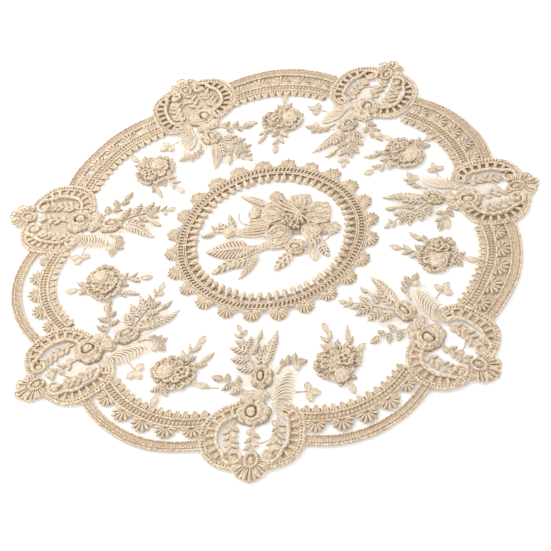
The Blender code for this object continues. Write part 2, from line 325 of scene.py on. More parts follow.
def makeShadeGroup():
    # thread colour with painted shade: darker in the crevices and between stitches, lighter on the raised
    # threads
    group, start, end = newGroup(
        "threadShade",
        [("Light", "NodeSocketColor", (1, 1, 1, 1)), ("Painted shade", "NodeSocketColor", (0, 0, 0, 1)),
         ("Low", "NodeSocketFloat", 0.0012), ("High", "NodeSocketFloat", 0.003),
         ("Mottle", "NodeSocketFloat", 0.12), ("Stitch", "NodeSocketFloat", 0.5),
         ("Stitch share", "NodeSocketFloat", 0.5)],
        [("Color", "NodeSocketColor")])
    where = node(group, "ShaderNodeTexCoord", {}).outputs["Object"]
    height = node(group, "ShaderNodeSeparateXYZ", {0: where}).outputs["Z"]
    # painted shade: low places take more of the dark shade colour
    raised = node(group, "ShaderNodeMapRange",
                  {"Value": height, "From Min": start.outputs["Low"],
                   "From Max": start.outputs["High"], "To Max": 0.76},
                  interpolation_type="SMOOTHSTEP").outputs["Result"]
    cloud, speck = [node(group, "ShaderNodeTexNoise",
                         {"Vector": where, "Scale": scale, "Detail": 3.0}).outputs["Fac"]
                    for scale in (60.0, 800.0)]
    uneven = reckon(group, "SUBTRACT", reckon(group, "ADD", cloud, speck), 1.0)
    mottle = reckon(group, "MULTIPLY", uneven, start.outputs["Mottle"])
    # painted shade between stitches: the low parts of the stitch relief darken the colour
    gap = reckon(group, "SUBTRACT", start.outputs["Stitch"], 0.55)
    stitched = reckon(group, "MULTIPLY_ADD", gap, start.outputs["Stitch share"], mottle)
    amount = reckon(group, "ADD", raised, stitched, clamp=True)
    shade = node(group, "ShaderNodeMix", {"Factor": amount, "A": start.outputs["Painted shade"],
                                          "B": start.outputs["Light"]}, data_type="RGBA")
    group.links.new(colourSocket(shade), end.inputs["Color"])
    return group


def makeStitchGroup():
    # heights of fine thread: satin strands along the surface, seed knots, and fuzz
    group, start, end = newGroup(
        "stitchRelief",
        [("Strands", "NodeSocketFloat", 1.0), ("Knots", "NodeSocketFloat", 0.0),
         ("Fuzz", "NodeSocketFloat", 0.3), ("Knot size", "NodeSocketFloat", 900.0)],
        [("Height", "NodeSocketFloat")])
    coords = node(group, "ShaderNodeTexCoord", {})
    wave = node(group, "ShaderNodeTexWave",
                {"Vector": coords.outputs["UV"], "Scale": 0.24, "Distortion": 0.8,
                 "Detail": 1.0, "Detail Scale": 2.0}, bands_direction="Y")
    cells = node(group, "ShaderNodeTexVoronoi",
                 {"Vector": coords.outputs["Object"], "Scale": start.outputs["Knot size"]})
    knots = node(group, "ShaderNodeMapRange", {"Value": cells.outputs["Distance"],
                                               "From Min": 0.2, "From Max": 0.7,
                                               "To Min": 1.0, "To Max": 0.0})
    fuzz = node(group, "ShaderNodeTexNoise",
                {"Vector": coords.outputs["Object"], "Scale": 2600.0, "Detail": 3.0})
    total = 0
    for source, share in ((wave.outputs["Fac"], "Strands"), (knots.outputs["Result"], "Knots"),
                          (fuzz.outputs["Fac"], "Fuzz")):
        total = reckon(group, "MULTIPLY_ADD", source, start.outputs[share], total)
    group.links.new(total, end.inputs["Height"])
    return group


threadShade = makeShadeGroup()
stitchRelief = makeStitchGroup()

threadLook = {
    "roughness": 0.7,
    "sheen": 0.15,
    "sheenRoughness": 0.4,
    "bumpDepth": 0.0005,
    "mottle": 0.35,
    "fuzz": 0.3,
}


def makeThread(name, light, paintedShade, low, high, strands=0.0, knots=0.0, knotSize=800.0,
               stitchShare=0.6, bump=0.7):
    # painted shade: the colour turns from the dark shade colour to the light one between the heights low
    # and high, in mm
    look = threadLook
    material, tree, shader = newFinish(name)
    relief = node(tree, "ShaderNodeGroup",
                  {"Strands": strands, "Knots": knots, "Fuzz": look["fuzz"],
                   "Knot size": knotSize}, node_tree=stitchRelief).outputs["Height"]
    shade = node(tree, "ShaderNodeGroup",
                 {"Light": (*ecru[light], 1), "Painted shade": (*ecru[paintedShade], 1), "Low": low / 1000,
                  "High": high / 1000, "Mottle": look["mottle"], "Stitch": relief,
                  "Stitch share": stitchShare}, node_tree=threadShade)
    raised = node(tree, "ShaderNodeBump",
                  {"Height": relief, "Strength": bump, "Distance": look["bumpDepth"]})
    feed(tree, shader, {"Base Color": shade.outputs["Color"], "Normal": raised.outputs["Normal"],
                        "Roughness": look["roughness"], "Sheen Weight": look["sheen"],
                        "Sheen Roughness": look["sheenRoughness"]})
    return material


def makeNet(name, thread, hole, strand, cover=0.0, shade=0.8):
    # sheer net: a mesh of fine threads whose small cells are open, or partly filled
    material, tree, shader = newFinish(name)
    where = node(tree, "ShaderNodeTexCoord", {}).outputs["Object"]
    cells = node(tree, "ShaderNodeTexVoronoi", {"Vector": where, "Scale": hole, "Randomness": 0.15},
                 feature="DISTANCE_TO_EDGE", voronoi_dimensions="2D")
    patches = node(tree, "ShaderNodeTexNoise", {"Vector": where, "Scale": 130.0, "Detail": 2.0})
    filled = node(tree, "ShaderNodeMapRange",
                  {"Value": patches.outputs["Fac"], "From Min": 0.42, "From Max": 0.58,
                   "To Min": cover * 0.45, "To Max": min(1.0, cover * 1.25)})
    solid = node(tree, "ShaderNodeMapRange",
                 {"Value": cells.outputs["Distance"], "From Min": strand, "From Max": strand * 1.6,
                  "To Min": 1.0, "To Max": filled.outputs["Result"]})
    tone = node(tree, "ShaderNodeTexNoise", {"Vector": where, "Scale": 420.0, "Detail": 3.0})
    tint = node(tree, "ShaderNodeMix",
                {"Factor": tone.outputs["Fac"], "A": (*ecru[thread], 1),
                 "B": (*[c * shade for c in ecru[thread]], 1)}, data_type="RGBA")
    feed(tree, shader, {"Base Color": colourSocket(tint), "Alpha": solid.outputs["Result"],
                        "Roughness": 0.8})
    return material


ecru = {
    "light": (0.85, 0.71, 0.54),
    "pale": (0.86, 0.74, 0.58),
    "petal": (0.84, 0.73, 0.56),
    "knot": (0.83, 0.71, 0.54),
    "plume": (0.85, 0.74, 0.59),
    # the dark colour of painted shade in crevices and between stitches
    "paintedShade": (0.31, 0.20, 0.105),
    "warm": (0.79, 0.635, 0.46),
    # a dark brown for strips of painted shade under the ladders, picots and sheaf
    "gapShade": (0.47, 0.345, 0.225),
    # a near-black for painted shade between the knots of the big flower's middle
    "heartShade": (0.17, 0.11, 0.06),
    "shade": (0.65, 0.505, 0.365),
    "veil": (0.72, 0.58, 0.43),
    "mist": (0.88, 0.8, 0.69),
    "net": (0.86, 0.82, 0.76),
}
cordThread = makeThread("cordThread", "light", "paintedShade", 0.7, 3.4, knots=0.9,
                        knotSize=560.0, stitchShare=0.75)
tapeThread = makeThread("tapeThread", "warm", "paintedShade", 0.0, 2.2, knots=0.9,
                        knotSize=560.0, stitchShare=0.6)
satinThread = makeThread("satinThread", "light", "paintedShade", 0.8, 2.8, strands=0.3,
                         knots=0.6, knotSize=640.0, stitchShare=0.7)
petalThread = makeThread("petalThread", "petal", "paintedShade", 0.9, 3.8, strands=0.25,
                         knots=0.8, knotSize=760.0, stitchShare=0.85)
leafThread = makeThread("leafThread", "pale", "paintedShade", 0.8, 2.6, strands=0.3,
                        knots=0.6, knotSize=640.0, stitchShare=0.6)
knotThread = makeThread("knotThread", "knot", "paintedShade", 0.8, 4.2, knots=0.9,
                        knotSize=700.0, stitchShare=0.85, bump=0.9)
plumeThread = makeThread("plumeThread", "plume", "warm", 0.9, 2.2, knots=0.5,
                         stitchShare=0.4)
# sheets in the shade colour: painted shade under the ring's stitches and knobs and between the centre
# petals
shadeSheetThread = makeThread("shadeSheetThread", "shade", "paintedShade", 0.4, 2.4, knots=0.8)
# painted shade: dark brown strips under ladders, picots and the sheaf
gapShadeThread = makeThread("gapShadeThread", "gapShade", "paintedShade", 0.6, 2.6, knots=0.8)
# painted shade: a near-black sheet under the knots of the big flower's middle
heartShadeThread = makeThread("heartShadeThread", "heartShade", "paintedShade", 0.6, 2.6, knots=0.8)
netThread = makeNet("netThread", "net", 900.0, 0.02)
veilThreads = {
    "dense": makeNet("veilDense", "veil", 620.0, 0.10, 0.80, 0.62),
    "medium": makeNet("veilMedium", "veil", 620.0, 0.08, 0.50, 0.7),
    "light": makeNet("veilLight", "mist", 620.0, 0.06, 0.5, 0.9),
    "faint": makeNet("veilFaint", "mist", 620.0, 0.04, 0.3, 0.95),
}
print("finishes ready")


# Cartouche scrolls.
scrollLook = {
    "reach": 164,            # centre of the cartouche's oval
    "half": (26.5, 34),      # half sizes outward and sideways
    "power": {1: 3.3, -1: 2.4},      # squareness: the left scroll's inner corner, and the rest
    "start": 21,             # degrees round the oval, beside the shell
    "end": {1: 139, -1: 156},        # where the left and the right scroll end
    "outerCord": (1.35, 2.7),    # inset of its middle, and width
    "nextCord": (4.0, 2.1),
    "innerCord": (11.3, 2.8),
    "innerStart": 60,
    "wrapLine": 2.6, "wrapPitch": 2.3, "wrapWidth": 1.05,
    "rungLine": 7.6, "rungPitch": 5.7, "rungWidth": 2.5, "rungStart": 46,
    # where the strip of painted shade under the rungs starts, and its half width
    "shadeStart": 34, "shadeHalf": 3.3,
    "hook": ((15.0, 17.8), (18.8, 16.0), (20.4, 12.2), (19.4, 8.4), (16.0, 6.8), (12.8, 8.4),
             (12.2, 11.6), (13.4, 13.4)),
    "hookBead": (16.2, 11.4, 2.9),   # its spot and radius
}


def ovalEdge(half, angle, power=2.0):
    across = abs(math.cos(angle) / half[0]) ** power + abs(math.sin(angle) / half[1]) ** power
    return across ** (-1 / power)


def ovalRoute(side, inset, fromAngle, toAngle):
    # a line inside the cartouche's edge, round its centre
    look = scrollLook
    route = []
    for a in spread(fromAngle, toAngle, 60):
        power = look["power"][side if a > 90 else -1]
        reach = ovalEdge(look["half"], math.radians(a), power) - inset
        route.append(polar(reach, math.radians(a), (look["reach"], 0)))
    return route


def makeScroll(side, shadedLadder):
    # a shaded ladder has dark brown painted shade between its rungs, the others have it in tape colour
    look = scrollLook
    end = look["end"][side]
    parts = []
    for key, low in (("outerCord", look["start"]), ("nextCord", look["start"] + 3)):
        inset, width = look[key]
        line = beaded(ovalRoute(side, inset, low, end), onNet + width / 2)
        parts.append(threads(key, [line], width, cordThread, sides=8))
    inset, width = look["innerCord"]
    hook = [(look["reach"] + x, y) for x, y in look["hook"]]
    inner = ovalRoute(side, inset, end, look["innerStart"]) + smoothRoute(hook)
    line = beaded(inner, onNet + width / 2 + 0.5, 2.2, 0.82)
    parts.append(threads("innerCord", [line], width, cordThread, sides=8))

    wraps = [stitch(spot, ((-2.3, -0.6, 1.7, 1), (-1.5, -0.4, 2.45, 1), (-0.4, -0.1, 2.1, 1),
                           (0.8, 0.2, 1.95, 1), (1.9, 0.5, 1.5, 1)))
             for spot in evenly(ovalRoute(side, look["wrapLine"], look["start"], end),
                                look["wrapPitch"])]
    parts.append(threads("wraps", wraps, look["wrapWidth"], cordThread))
    rungs = [stitch(spot, ((-2.7, 0, 0.9, 1.2), (0, 0, 1.1, 0.9), (2.3, 0, 0.6, 0.9)))
             for spot in evenly(ovalRoute(side, look["rungLine"], look["rungStart"], end - 2),
                                look["rungPitch"])]
    parts.append(threads("rungs", rungs, look["rungWidth"], satinThread))

    # painted shade: a low strip under the rungs, dark brown on a shaded ladder
    low, finish = (0.2, gapShadeThread) if shadedLadder else (0.4, tapeThread)
    parts.append(makeStrip("ladderShade",
                           ovalRoute(side, look["rungLine"], look["shadeStart"], end),
                           look["shadeHalf"], low, finish))
    x, y, radius = look["hookBead"]
    parts.append(makeBead("hookBead", (radius, radius), 1.5, tapeThread,
                          (look["reach"] + x, y, 0)))
    scroll = joinParts("scroll", parts)
    if side < 0:
        scroll.data.transform(Matrix.Diagonal((1, -1, 1, 1)))
        scroll.data.flip_normals()
    return scroll


# Ribbed shells and fans.


def ribRoutes(centre, heading, count, spreadAngle, inner, outer, rise=1.3, squash=1.0, lobe=0):
    # tapered ribs that fan out from a centre, shorter to the sides and where scallops meet
    routes = []
    for a in spread(-spreadAngle / 2, spreadAngle / 2, count):
        way = math.radians(heading + a)
        share = abs(a) / (spreadAngle / 2) if spreadAngle else 0
        tip = outer * (1 - (1 - squash) * share ** 1.5)
        if lobe:
            tip *= 0.86 + 0.14 * abs(math.cos(math.pi * a / lobe)) ** 0.7
        spots = []
        for t in (0, 0.3, 0.65, 0.9, 1.0):
            r = inner + (tip - inner) * t
            width = (0.3 + 0.7 * t) if t < 1 else 0.6
            height = rise * (0.7 + 0.5 * math.sin(math.pi * min(1, t * 1.05)))
            if t == 1:
                height = rise * 0.55
            spots.append((*polar(r, way, centre), onNet + height, width))
        routes.append(spots)
    return routes


shellLook = {
    "centre": (184.5, 0),
    "ribs": 15,
    "spread": 206,
    "inner": 4.4,
    "outer": 15.4,
    "sideShare": 0.62,
    "lobe": 41,              # degrees from one scallop to the next
    "ribWidth": 2.3,
    "rimWidth": 1.5,
    "beadSpot": (184.1, 0, 0),
    "bead": (3.4, 2.4),
    "collar": (5.3, 4.0), "collarWidth": 1.9,
    "backSpot": (187.9, 0, 0),
    "back": (10.2, 9.8),
}


def makeBead(name, half, crown, finish, at=(0, 0, 0), columns=14, rings=4):
    # an oval pad of satin stitch, centred at a spot
    def surface(u, v):
        t = (v + 1) / 2
        x, y = half[0] * t * math.cos(2 * math.pi * u), half[1] * t * math.sin(2 * math.pi * u)
        return x, y, onNet + 0.3 + crown * math.sqrt(max(0, 1 - t * t * 0.94))

    bead = padded(name, columns, rings, surface, finish, size=(half[0] * 6, half[1]))
    bead.data.transform(Matrix.Translation(at))
    return bead


def ringRoute(centre, half, height, count=18):
    return [(centre[0] + half[0] * math.cos(a), centre[1] + half[1] * math.sin(a), height)
            for a in spread(0, 2 * math.pi, count + 1)]


def makeShell():
    look = shellLook
    ribs = ribRoutes(look["centre"], 0, look["ribs"], look["spread"], look["inner"],
                     look["outer"], rise=1.7, squash=look["sideShare"], lobe=look["lobe"])
    parts = [threads("ribs", ribs, look["ribWidth"], satinThread)]
    arches = []
    for scallop in range(-2, 3):
        a = scallop * look["lobe"]
        tip = look["outer"] * (1 - (1 - look["sideShare"])
                               * (abs(a) / (look["spread"] / 2)) ** 1.5)
        arches.append([(*polar(look["inner"] + (tip - look["inner"]) * share,
                               math.radians(a + lean), look["centre"]), onNet + z)
                       for lean, share, z in ((-20, 0.3, 1.7), (-18.5, 0.7, 1.9), (-13, 0.93, 1.7),
                                              (0, 1.0, 1.6), (13, 0.93, 1.7), (18.5, 0.7, 1.9),
                                              (20, 0.3, 1.7))])
    parts.append(threads("arches", arches, look["rimWidth"], cordThread))
    width = look["collarWidth"]
    collar = beaded(ringRoute(look["beadSpot"], look["collar"], 0, 30), onNet + width, width)
    parts.append(threads("collar", [collar], width, cordThread, sides=8))
    parts.append(makeBead("bead", look["bead"], 2.2, knotThread, look["beadSpot"]))
    parts.append(makeBead("backing", look["back"], 0.9, tapeThread, look["backSpot"], 24, 2))
    return joinParts("shell", parts)


# Edge tape and border band.
tapeHalf = 3.8
arcs = {
    # the middle line: how far out, its radius, and half its length in degrees round the centre
    "tape": {"mid": 181.9 - tapeHalf, "radius": 90 - tapeHalf, "half": 14.9},
    "band": {"mid": 157.5, "radius": 80, "half": 14.4},
}


def arcRoute(arc, offset=0.0):
    # a line beside an arc, in the sector of a gap
    middle = arc["mid"] - arc["radius"]
    route = []
    for degrees in spread(-arc["half"], arc["half"], 60):
        a = math.radians(degrees)
        reach = (middle * math.cos(a)
                 + math.sqrt((arc["radius"] + offset) ** 2 - (middle * math.sin(a)) ** 2))
        route.append(polar(reach, a))
    return route


tapeLook = {"cords": (-3.3, 1.3, 3.3), "cordWidths": (1.5, 1.0, 1.8),
            "ribPitch": 1.75, "ribWidth": 1.0, "weaveHalf": 3.5}


def makeTape():
    look = tapeLook
    arc = arcs["tape"]
    parts = []
    for off, width in zip(look["cords"], look["cordWidths"]):
        line = beaded(arcRoute(arc, off), onNet + 1.25)
        parts.append(threads("tapeCord", [line], width, cordThread))
    ribs = []
    for spot in evenly(arcRoute(arc), look["ribPitch"]):
        ribs.append(stitch(spot, ((-2.8, -0.28, 0.75, 1), (-1.0, -0.1, 1.15, 1),
                                  (0.9, 0.09, 0.75, 1))))
        ribs.append(stitch(spot, ((1.5, 0.3, 0.7, 1), (2.1, 0.3, 0.85, 1), (2.7, 0.3, 0.7, 1))))
    parts.append(threads("ribs", ribs, look["ribWidth"], satinThread))
    parts.append(makeStrip("weave", arcRoute(arc), look["weaveHalf"], 0.75, tapeThread))
    return joinParts("tape", parts)


def makeStrip(name, route, halfWidth, thick, finish):
    # a low strip under stitches, in the finish it is given: the tape's weave, a closer net, and elsewhere
    # painted shade between the stitches
    spots = evenly(route, 3)

    def surface(u, v):
        spot = spots[min(len(spots) - 1, round(u * (len(spots) - 1)))]
        return (*beside(spot, v * halfWidth), onNet + thick)

    return padded(name, len(spots) - 1, 2, surface, finish)


bandLook = {
    "cord": 3.0, "cordWidth": 1.9, "stitchPitch": 2.65, "stitchWidth": 1.2,
    "picots": 13, "picotTall": 5.4, "picotWidth": 1.9, "fillerWidth": 1.8,
    "fans": 5, "fanRibs": 7, "fanTall": 8.4, "fanWidth": 2.5, "endFan": 0.86,
    "edgeLine": 4.2,         # where the picots and the fans are sewn on
    "fanBack": (4.0, 5.6), "fanBackOut": 2.6,
    # half widths and line of the low strips of painted shade between the stitches and between the picots
    "shadeHalf": 3.2,
    "picotShadeLine": 5.9, "picotShadeHalf": 1.7,
}


def picotRoute(spot, tall, wide):
    # a loop of thick thread that stands on a cord, to the left of its route
    return stitch(spot, ((0, -wide, 0.8, 1), (tall * 0.5, -wide * 0.78, 1.15, 1),
                         (tall * 0.88, -wide * 0.3, 1.3, 1), (tall * 0.88, wide * 0.3, 1.3, 1),
                         (tall * 0.5, wide * 0.78, 1.15, 1), (0, wide, 0.8, 1)))


def makeBand():
    look = bandLook
    arc = arcs["band"]
    fanBacking = makeBead("fanBacking", look["fanBack"], 0.5, leafThread, rings=2)
    cords = [beaded(arcRoute(arc, off), onNet + 1.2) for off in (-look["cord"], look["cord"])]
    parts = [threads("cords", cords, look["cordWidth"], cordThread, sides=8)]
    middle = arcRoute(arc)
    stitches = [stitch(spot, ((-2.3, -0.8, 0.9, 0.8), (-0.9, 0.3, 1.1, 0.7), (0, 0, 1.45, 1.7),
                              (0.9, -0.3, 1.1, 0.7), (2.3, 0.8, 0.9, 0.8)))
                for spot in evenly(middle, look["stitchPitch"])]
    parts.append(threads("stitches", stitches, look["stitchWidth"], satinThread))

    step = 0.5
    inner = evenly(arcRoute(arc, -look["edgeLine"]), step)
    picots = []
    fillers = []
    wide = step * len(inner) * 0.5 / look["picots"]
    for i in range(look["picots"]):
        spot = inner[round((i + 0.5) * (len(inner) - 1) / look["picots"])]
        picots.append(picotRoute(spot, look["picotTall"], wide * 0.62))
        fillers.append(stitch(spot, ((0, 0, 0.5, 1.0), (2.2, 0, 0.8, 1.0), (4.4, 0, 0.8, 0.5))))
    parts.append(threads("picots", picots, look["picotWidth"], satinThread))
    parts.append(threads("fillers", fillers, look["fillerWidth"], satinThread))

    outer = evenly(arcRoute(arc, look["edgeLine"]), step)
    fans = []
    for i in range(look["fans"]):
        x, y, heading = outer[round((i + 0.5) * (len(outer) - 1) / look["fans"])]
        size = look["endFan"] if i in (0, look["fans"] - 1) else 1.0
        fans += ribRoutes((x, y), math.degrees(heading) - 90, look["fanRibs"], 172, 1.3,
                          look["fanTall"] * size, rise=1.25, squash=0.86)
        parts.append(put(fanBacking, x + look["fanBackOut"], y, size=size))
    parts.append(threads("fans", fans, look["fanWidth"], satinThread))

    # low strips of painted shade between the stitches and between the picots
    parts.append(makeStrip("bandShade", middle, look["shadeHalf"], 0.6, tapeThread))
    parts.append(makeStrip("picotShade", arcRoute(arc, -look["picotShadeLine"]),
                           look["picotShadeHalf"], 0.3, gapShadeThread))
    discard(fanBacking)
    return joinParts("band", parts)


veilLook = {
    # how close the mesh is behind each gap's fans, in each window and behind each spray
    "gaps": ("", "dense", "medium", "dense", "light", "", ""),
    "windows": ("", "", "light", "light", "dense", "medium", "light"),
    "sprays": ("faint", "faint", "faint", "light", "light", "light", "light"),
    "gapLine": 9.6, "gapHalf": 6.6,
    "windowFrom": 147.5,
    "windowHalf": {"light": (11.0, 21.0), "medium": (15.0, 22.0), "dense": (16.5, 23.0)},
    "low": 0.06,
}
borderShifts = {
    # how far each sector's pieces lie outward, and its tape and band sideways
    "shell": (-1.0, 1.8, -1.6, 0.8, -1.5, 4.2, 4.0),
    "tape": (-1.8, -1, -0.5, -1, -2.6, -0.6, -1.0),
    "band": (0.6, 2.9, 3.4, 2.2, 3.8, -0.6, 1.2),
    "sideways": (0.4, 0, -2.4, 3.8, 0.6, 0, 1.0),
}


def makeGapVeil(kind):
    # a closer piece of net behind the fans, from the band to the tape
    look = veilLook
    return makeStrip("gapVeil", arcRoute(arcs["band"], look["gapLine"]), look["gapHalf"],
                     look["low"], veilThreads[kind])


def makeWindowVeil(kind):
    # from the inner end of the window towards the shell
    half = veilLook["windowHalf"][kind]

    def surface(u, v):
        reach = ovalEdge(half, 2 * math.pi * u, 2.8) * (v + 1) / 2
        x, y = polar(reach, 2 * math.pi * u, (veilLook["windowFrom"] + half[0], 0))
        return x, y, onNet + veilLook["low"]

    return padded("windowVeil", 40, 2, surface, veilThreads[kind], size=(120, 30))


def withVeil(part, makeVeil, kind):
    # a copy of a piece, joined to a veil of the given closeness where there is one
    laid = put(part, 0, 0)
    return joinParts(part.name + "Laid", [laid, makeVeil(kind)]) if kind else laid


shadedLadderAt = (2, 3, 4)   # the cartouches whose ladders have dark brown painted shade between the rungs
scrollParts = {(side, shadedLadder): makeScroll(side, shadedLadder)
               for side in (1, -1) for shadedLadder in (False, True)}
shellPart = makeShell()
tapePart = makeTape()
bandPart = makeBand()
print("braids modelled")

for k in range(sectors):
    axis = firstAxis + k * turn
    n = k + 1
    shadedLadder = k in shadedLadderAt
    shellOut, tapeOut, bandOut, sideways = [row[k] for row in borderShifts.values()]
    sew(scrollParts[1, shadedLadder], f"scrollLeft_{n}", axis, f"scroll_left_{n}")
    sew(scrollParts[-1, shadedLadder], f"scrollRight_{n}", axis, f"scroll_right_{n}")
    sew(shellPart, f"ribbedShell_{n}", axis, f"shell_{n}", shift=(shellOut, 0))
    sew(tapePart, f"edgeTape_{n}", axis + turn / 2, f"tape_{n}",
        shift=(tapeOut, sideways))
    band = withVeil(bandPart, makeGapVeil, veilLook["gaps"][k])
    sew(band, f"borderBand_{n}", axis + turn / 2, f"band_{n}",
        shift=(bandOut, sideways))
    discard(band)
discard(*scrollParts.values(), shellPart, tapePart, bandPart)
print("border laid")


# Leaves, petals, buds and knots.
leafLooks = {
    # 10 mm long; width, stitches a side, width of a stitch and how far it leans ahead
    "leaf": {"width": 5.2, "barbs": 5, "barb": 1.15, "lean": 2.1},
    "fern": {"width": 3.2, "barbs": 10, "barb": 0.62, "lean": 1.5},
    "broad": {"width": 6.0, "barbs": 12, "barb": 0.52, "lean": 1.5},
}

petalLooks = {
    # 10 mm long; degrees across, crown, lengthwise ribs and their height, lobes of the edge
    "petal": {"spread": 78, "crown": 1.7, "ribs": 9, "rib": 0.26, "lobes": 3, "lobe": 0.05},
    "fullPetal": {"spread": 100, "crown": 2.2, "ribs": 3, "rib": 0.2, "lobes": 3, "lobe": 0.05},
    "fan": {"spread": 96, "crown": 1.5, "ribs": 13, "rib": 0.26, "lobes": 5, "lobe": 0.05},
}


def leafEdge(u, full=0.78):
    return math.sin(math.pi * u ** full) ** 0.9 if 0 < u < 1 else 0.0


def makeLowPad(name, halfWidth):
    # the flat filling under a leaf's stitches
    def surface(u, v):
        edge = leafEdge(u)
        return 10 * u, v * halfWidth * edge, onNet + 0.3 + 0.35 * (1 - v * v) * edge

    return padded(name, 12, 4, surface, leafThread, size=(10, halfWidth * 2))


def makeLeaf(name):
    # slanted stitches on each side of a midrib
    look = leafLooks[name]
    half = look["width"] / 2
    barbs = []
    for start in spread(0.3, 8.7, look["barbs"]):
        for side, lean in ((1, look["lean"] * 1.1), (-1, look["lean"] * 0.9)):
            tip = min(9.7, start + lean)
            reach = side * half * (leafEdge(tip / 10) * 1.06 + 0.05)
            barbs.append([(start, side * 0.1, onNet + 0.95, 0.7),
                          (start * 0.45 + tip * 0.55, reach * 0.6, onNet + 1.25, 1.0),
                          (tip, reach, onNet + 0.7, 0.5)])
    rib = [(x, 0, onNet + z, w) for x, z, w in ((0, 0.7, 1.1), (4, 1.3, 1.0), (8, 1.2, 0.8),
                                                (10, 0.6, 0.5))]
    parts = [threads("barbs", barbs, look["barb"], leafThread),
             threads("rib", [rib], 0.8, leafThread), makeLowPad("leafPad", half * 0.9)]
    return joinParts(name, parts)


def makeTwist():
    # a narrow leaf of thick strands that slant across it like a rope
    strands = []
    for x in spread(0.2, 7.6, 6):
        half = 1.9 * leafEdge((x + 1.2) / 10)
        strands.append(stitch((x, 0, 0), ((-half, 0, 0.6, 0.6), (-half * 0.4, 0.6, 1.3, 1.1),
                                          (half * 0.4, 1.6, 1.3, 1.05), (half, 2.4, 0.6, 0.5))))
    return joinParts("twist", [threads("strands", strands, 1.5, leafThread),
                               makeLowPad("twistPad", 1.8)])


def makeBud():
    # a padded bud with a crease, corded round its edge
    def surface(u, v):
        edge = leafEdge(u, 1.2)
        z = 1.2 * (1 - 0.7 * v * v) * edge ** 0.5 - 0.7 * math.exp(-(v / 0.22) ** 2) * edge
        return 10 * u, v * 2.2 * edge, onNet + 0.35 + max(0, z)

    body = padded("bud", 12, 8, surface, leafThread, size=(10, 4.4))
    rim = ([surface(u, 0.98) for u in spread(0.02, 0.98, 9)] + [surface(1, 0)]
           + [surface(u, -0.98) for u in spread(0.98, 0.02, 9)])
    return joinParts("bud", [body, makeOutline(rim, 0.9)])


def makeOutline(rim, width):
    # a fine cord couched round a motif
    return threads("outline", [[(x, y, onNet + 0.75 + 0.3 * (z - onNet)) for x, y, z in rim]],
                   width, leafThread, sides=4)


def makeRoundPetal():
    # a broad rounded petal, 10 mm long, ribbed lengthwise
    def surface(u, v):
        u = 0.02 + 0.96 * u
        edge = (1 - abs((u - 0.56) / 0.56) ** 2.4) ** 0.5
        edge *= 1 + 0.07 * math.cos(13 * u)
        z = 1.5 * edge ** 0.6 * (1 - 0.35 * v * v) + 0.3 * u
        z += 0.25 * math.cos(5 * math.pi * v + 2 * math.sin(4 * u)) * edge
        z += 0.22 * math.cos(14 * u + 2 * v) * edge
        x = 10 * u * (1 + 0.05 * math.cos(8 * v)) - 0.5 * u
        return x, v * 4.6 * edge * (0.55 + 0.45 * u ** 0.4), onNet + 0.5 + max(0, z)

    body = padded("roundPetal", 11, 26, surface, petalThread, size=(10, 9))
    rim = ([surface(u, 1.0) for u in spread(0.04, 0.96, 9)]
           + [surface(1, v) for v in (0.6, 0, -0.6)]
           + [surface(u, -1.0) for u in spread(0.96, 0.04, 9)])
    ribs = []
    for v in spread(-0.82, 0.82, 8):
        line = []
        for u in spread(0.08, 0.93, 9):
            x, y, z = surface(u, v + 0.06 * math.sin(9 * u + 5 * v))
            line.append((x, y, z + 0.12, 1.0 - 0.5 * abs(u - 0.5)))
        ribs.append(line)
    return joinParts("roundPetal", [body, makeOutline(rim, 1.1),
                                    threads("petalRibs", ribs, 0.5, knotThread, sides=4)])


def makePetal(name, finish, columns=10, rows=18):
    look = petalLooks[name]

    def surface(u, v):
        way = math.radians(look["spread"]) / 2 * v * (0.6 + 0.4 * math.sqrt(u))
        edge = 1 + look["lobe"] * math.cos(look["lobes"] * math.pi * v) - 0.16 * v * v
        x, y = polar(10 * (0.12 + 0.88 * u * edge / (1 + look["lobe"])), way)
        lip = math.sin(math.pi * (0.12 + 0.82 * u ** 1.6)) ** 0.8
        z = look["crown"] * lip * (1 - 0.45 * v ** 4)
        z += look["rib"] * math.cos(look["ribs"] * math.pi * v) * math.sin(math.pi * u)
        z += 0.35 * v
        return x, y, onNet + 0.5 + max(0, z)

    body = padded(name, columns, rows, surface, finish, size=(10, 9))
    rim = ([surface(u, 0.97) for u in (0.25, 0.5, 0.75, 0.93)]
           + [surface(0.985, v) for v in spread(0.9, -0.9, rows // 2 + 1)]
           + [surface(u, -0.97) for u in (0.93, 0.75, 0.5, 0.25)])
    return joinParts(name, [body, makeOutline(rim, 1.0)])


leaves = {
    "leaf": makeLeaf("leaf"),
    "fern": makeLeaf("fern"),
    "broad": makeLeaf("broad"),
    "twist": makeTwist(),
    "bud": makeBud(),
    "petal": makePetal("petal", petalThread),
    "fullPetal": makePetal("fullPetal", knotThread, 8, 14),
    "fan": makePetal("fan", petalThread, 10, 30),
    "round": makeRoundPetal(),
}
knot = makeBead("knot", (1, 1), 1.2, knotThread, columns=9, rings=3)
pad = makeBead("pad", (1, 1), 1.0, knotThread, columns=18, rings=5)


def dress(table):
    # leaves and petals from rows of kind, root, tip, width share and lift
    return [place(leaves[kind], root, tip, wide, lift) for kind, root, tip, wide, lift in table]


def stems(name, routes, width, height=0.6):
    # fine corded stems through given spots, thinner at the far end
    lines = []
    for spots in routes:
        line = evenly(smoothRoute(spots), 1.6)
        lines.append([(x, y, onNet + height, 1.1 - 0.45 * i / len(line))
                      for i, (x, y, _) in enumerate(line)])
    return threads(name, lines, width, satinThread)


roseLook = {
    "bead": 0.33, "moat": 0.42, "collar": 0.68,      # shares of the rose's size
    "dome": 1.5, "beadRise": 1.6, "collarRise": 1.7, "lobeRise": 1.5, "crease": 1.3,
    "lobes": 7,
    "off": (-0.06, -0.26),           # the bead sits aside
}


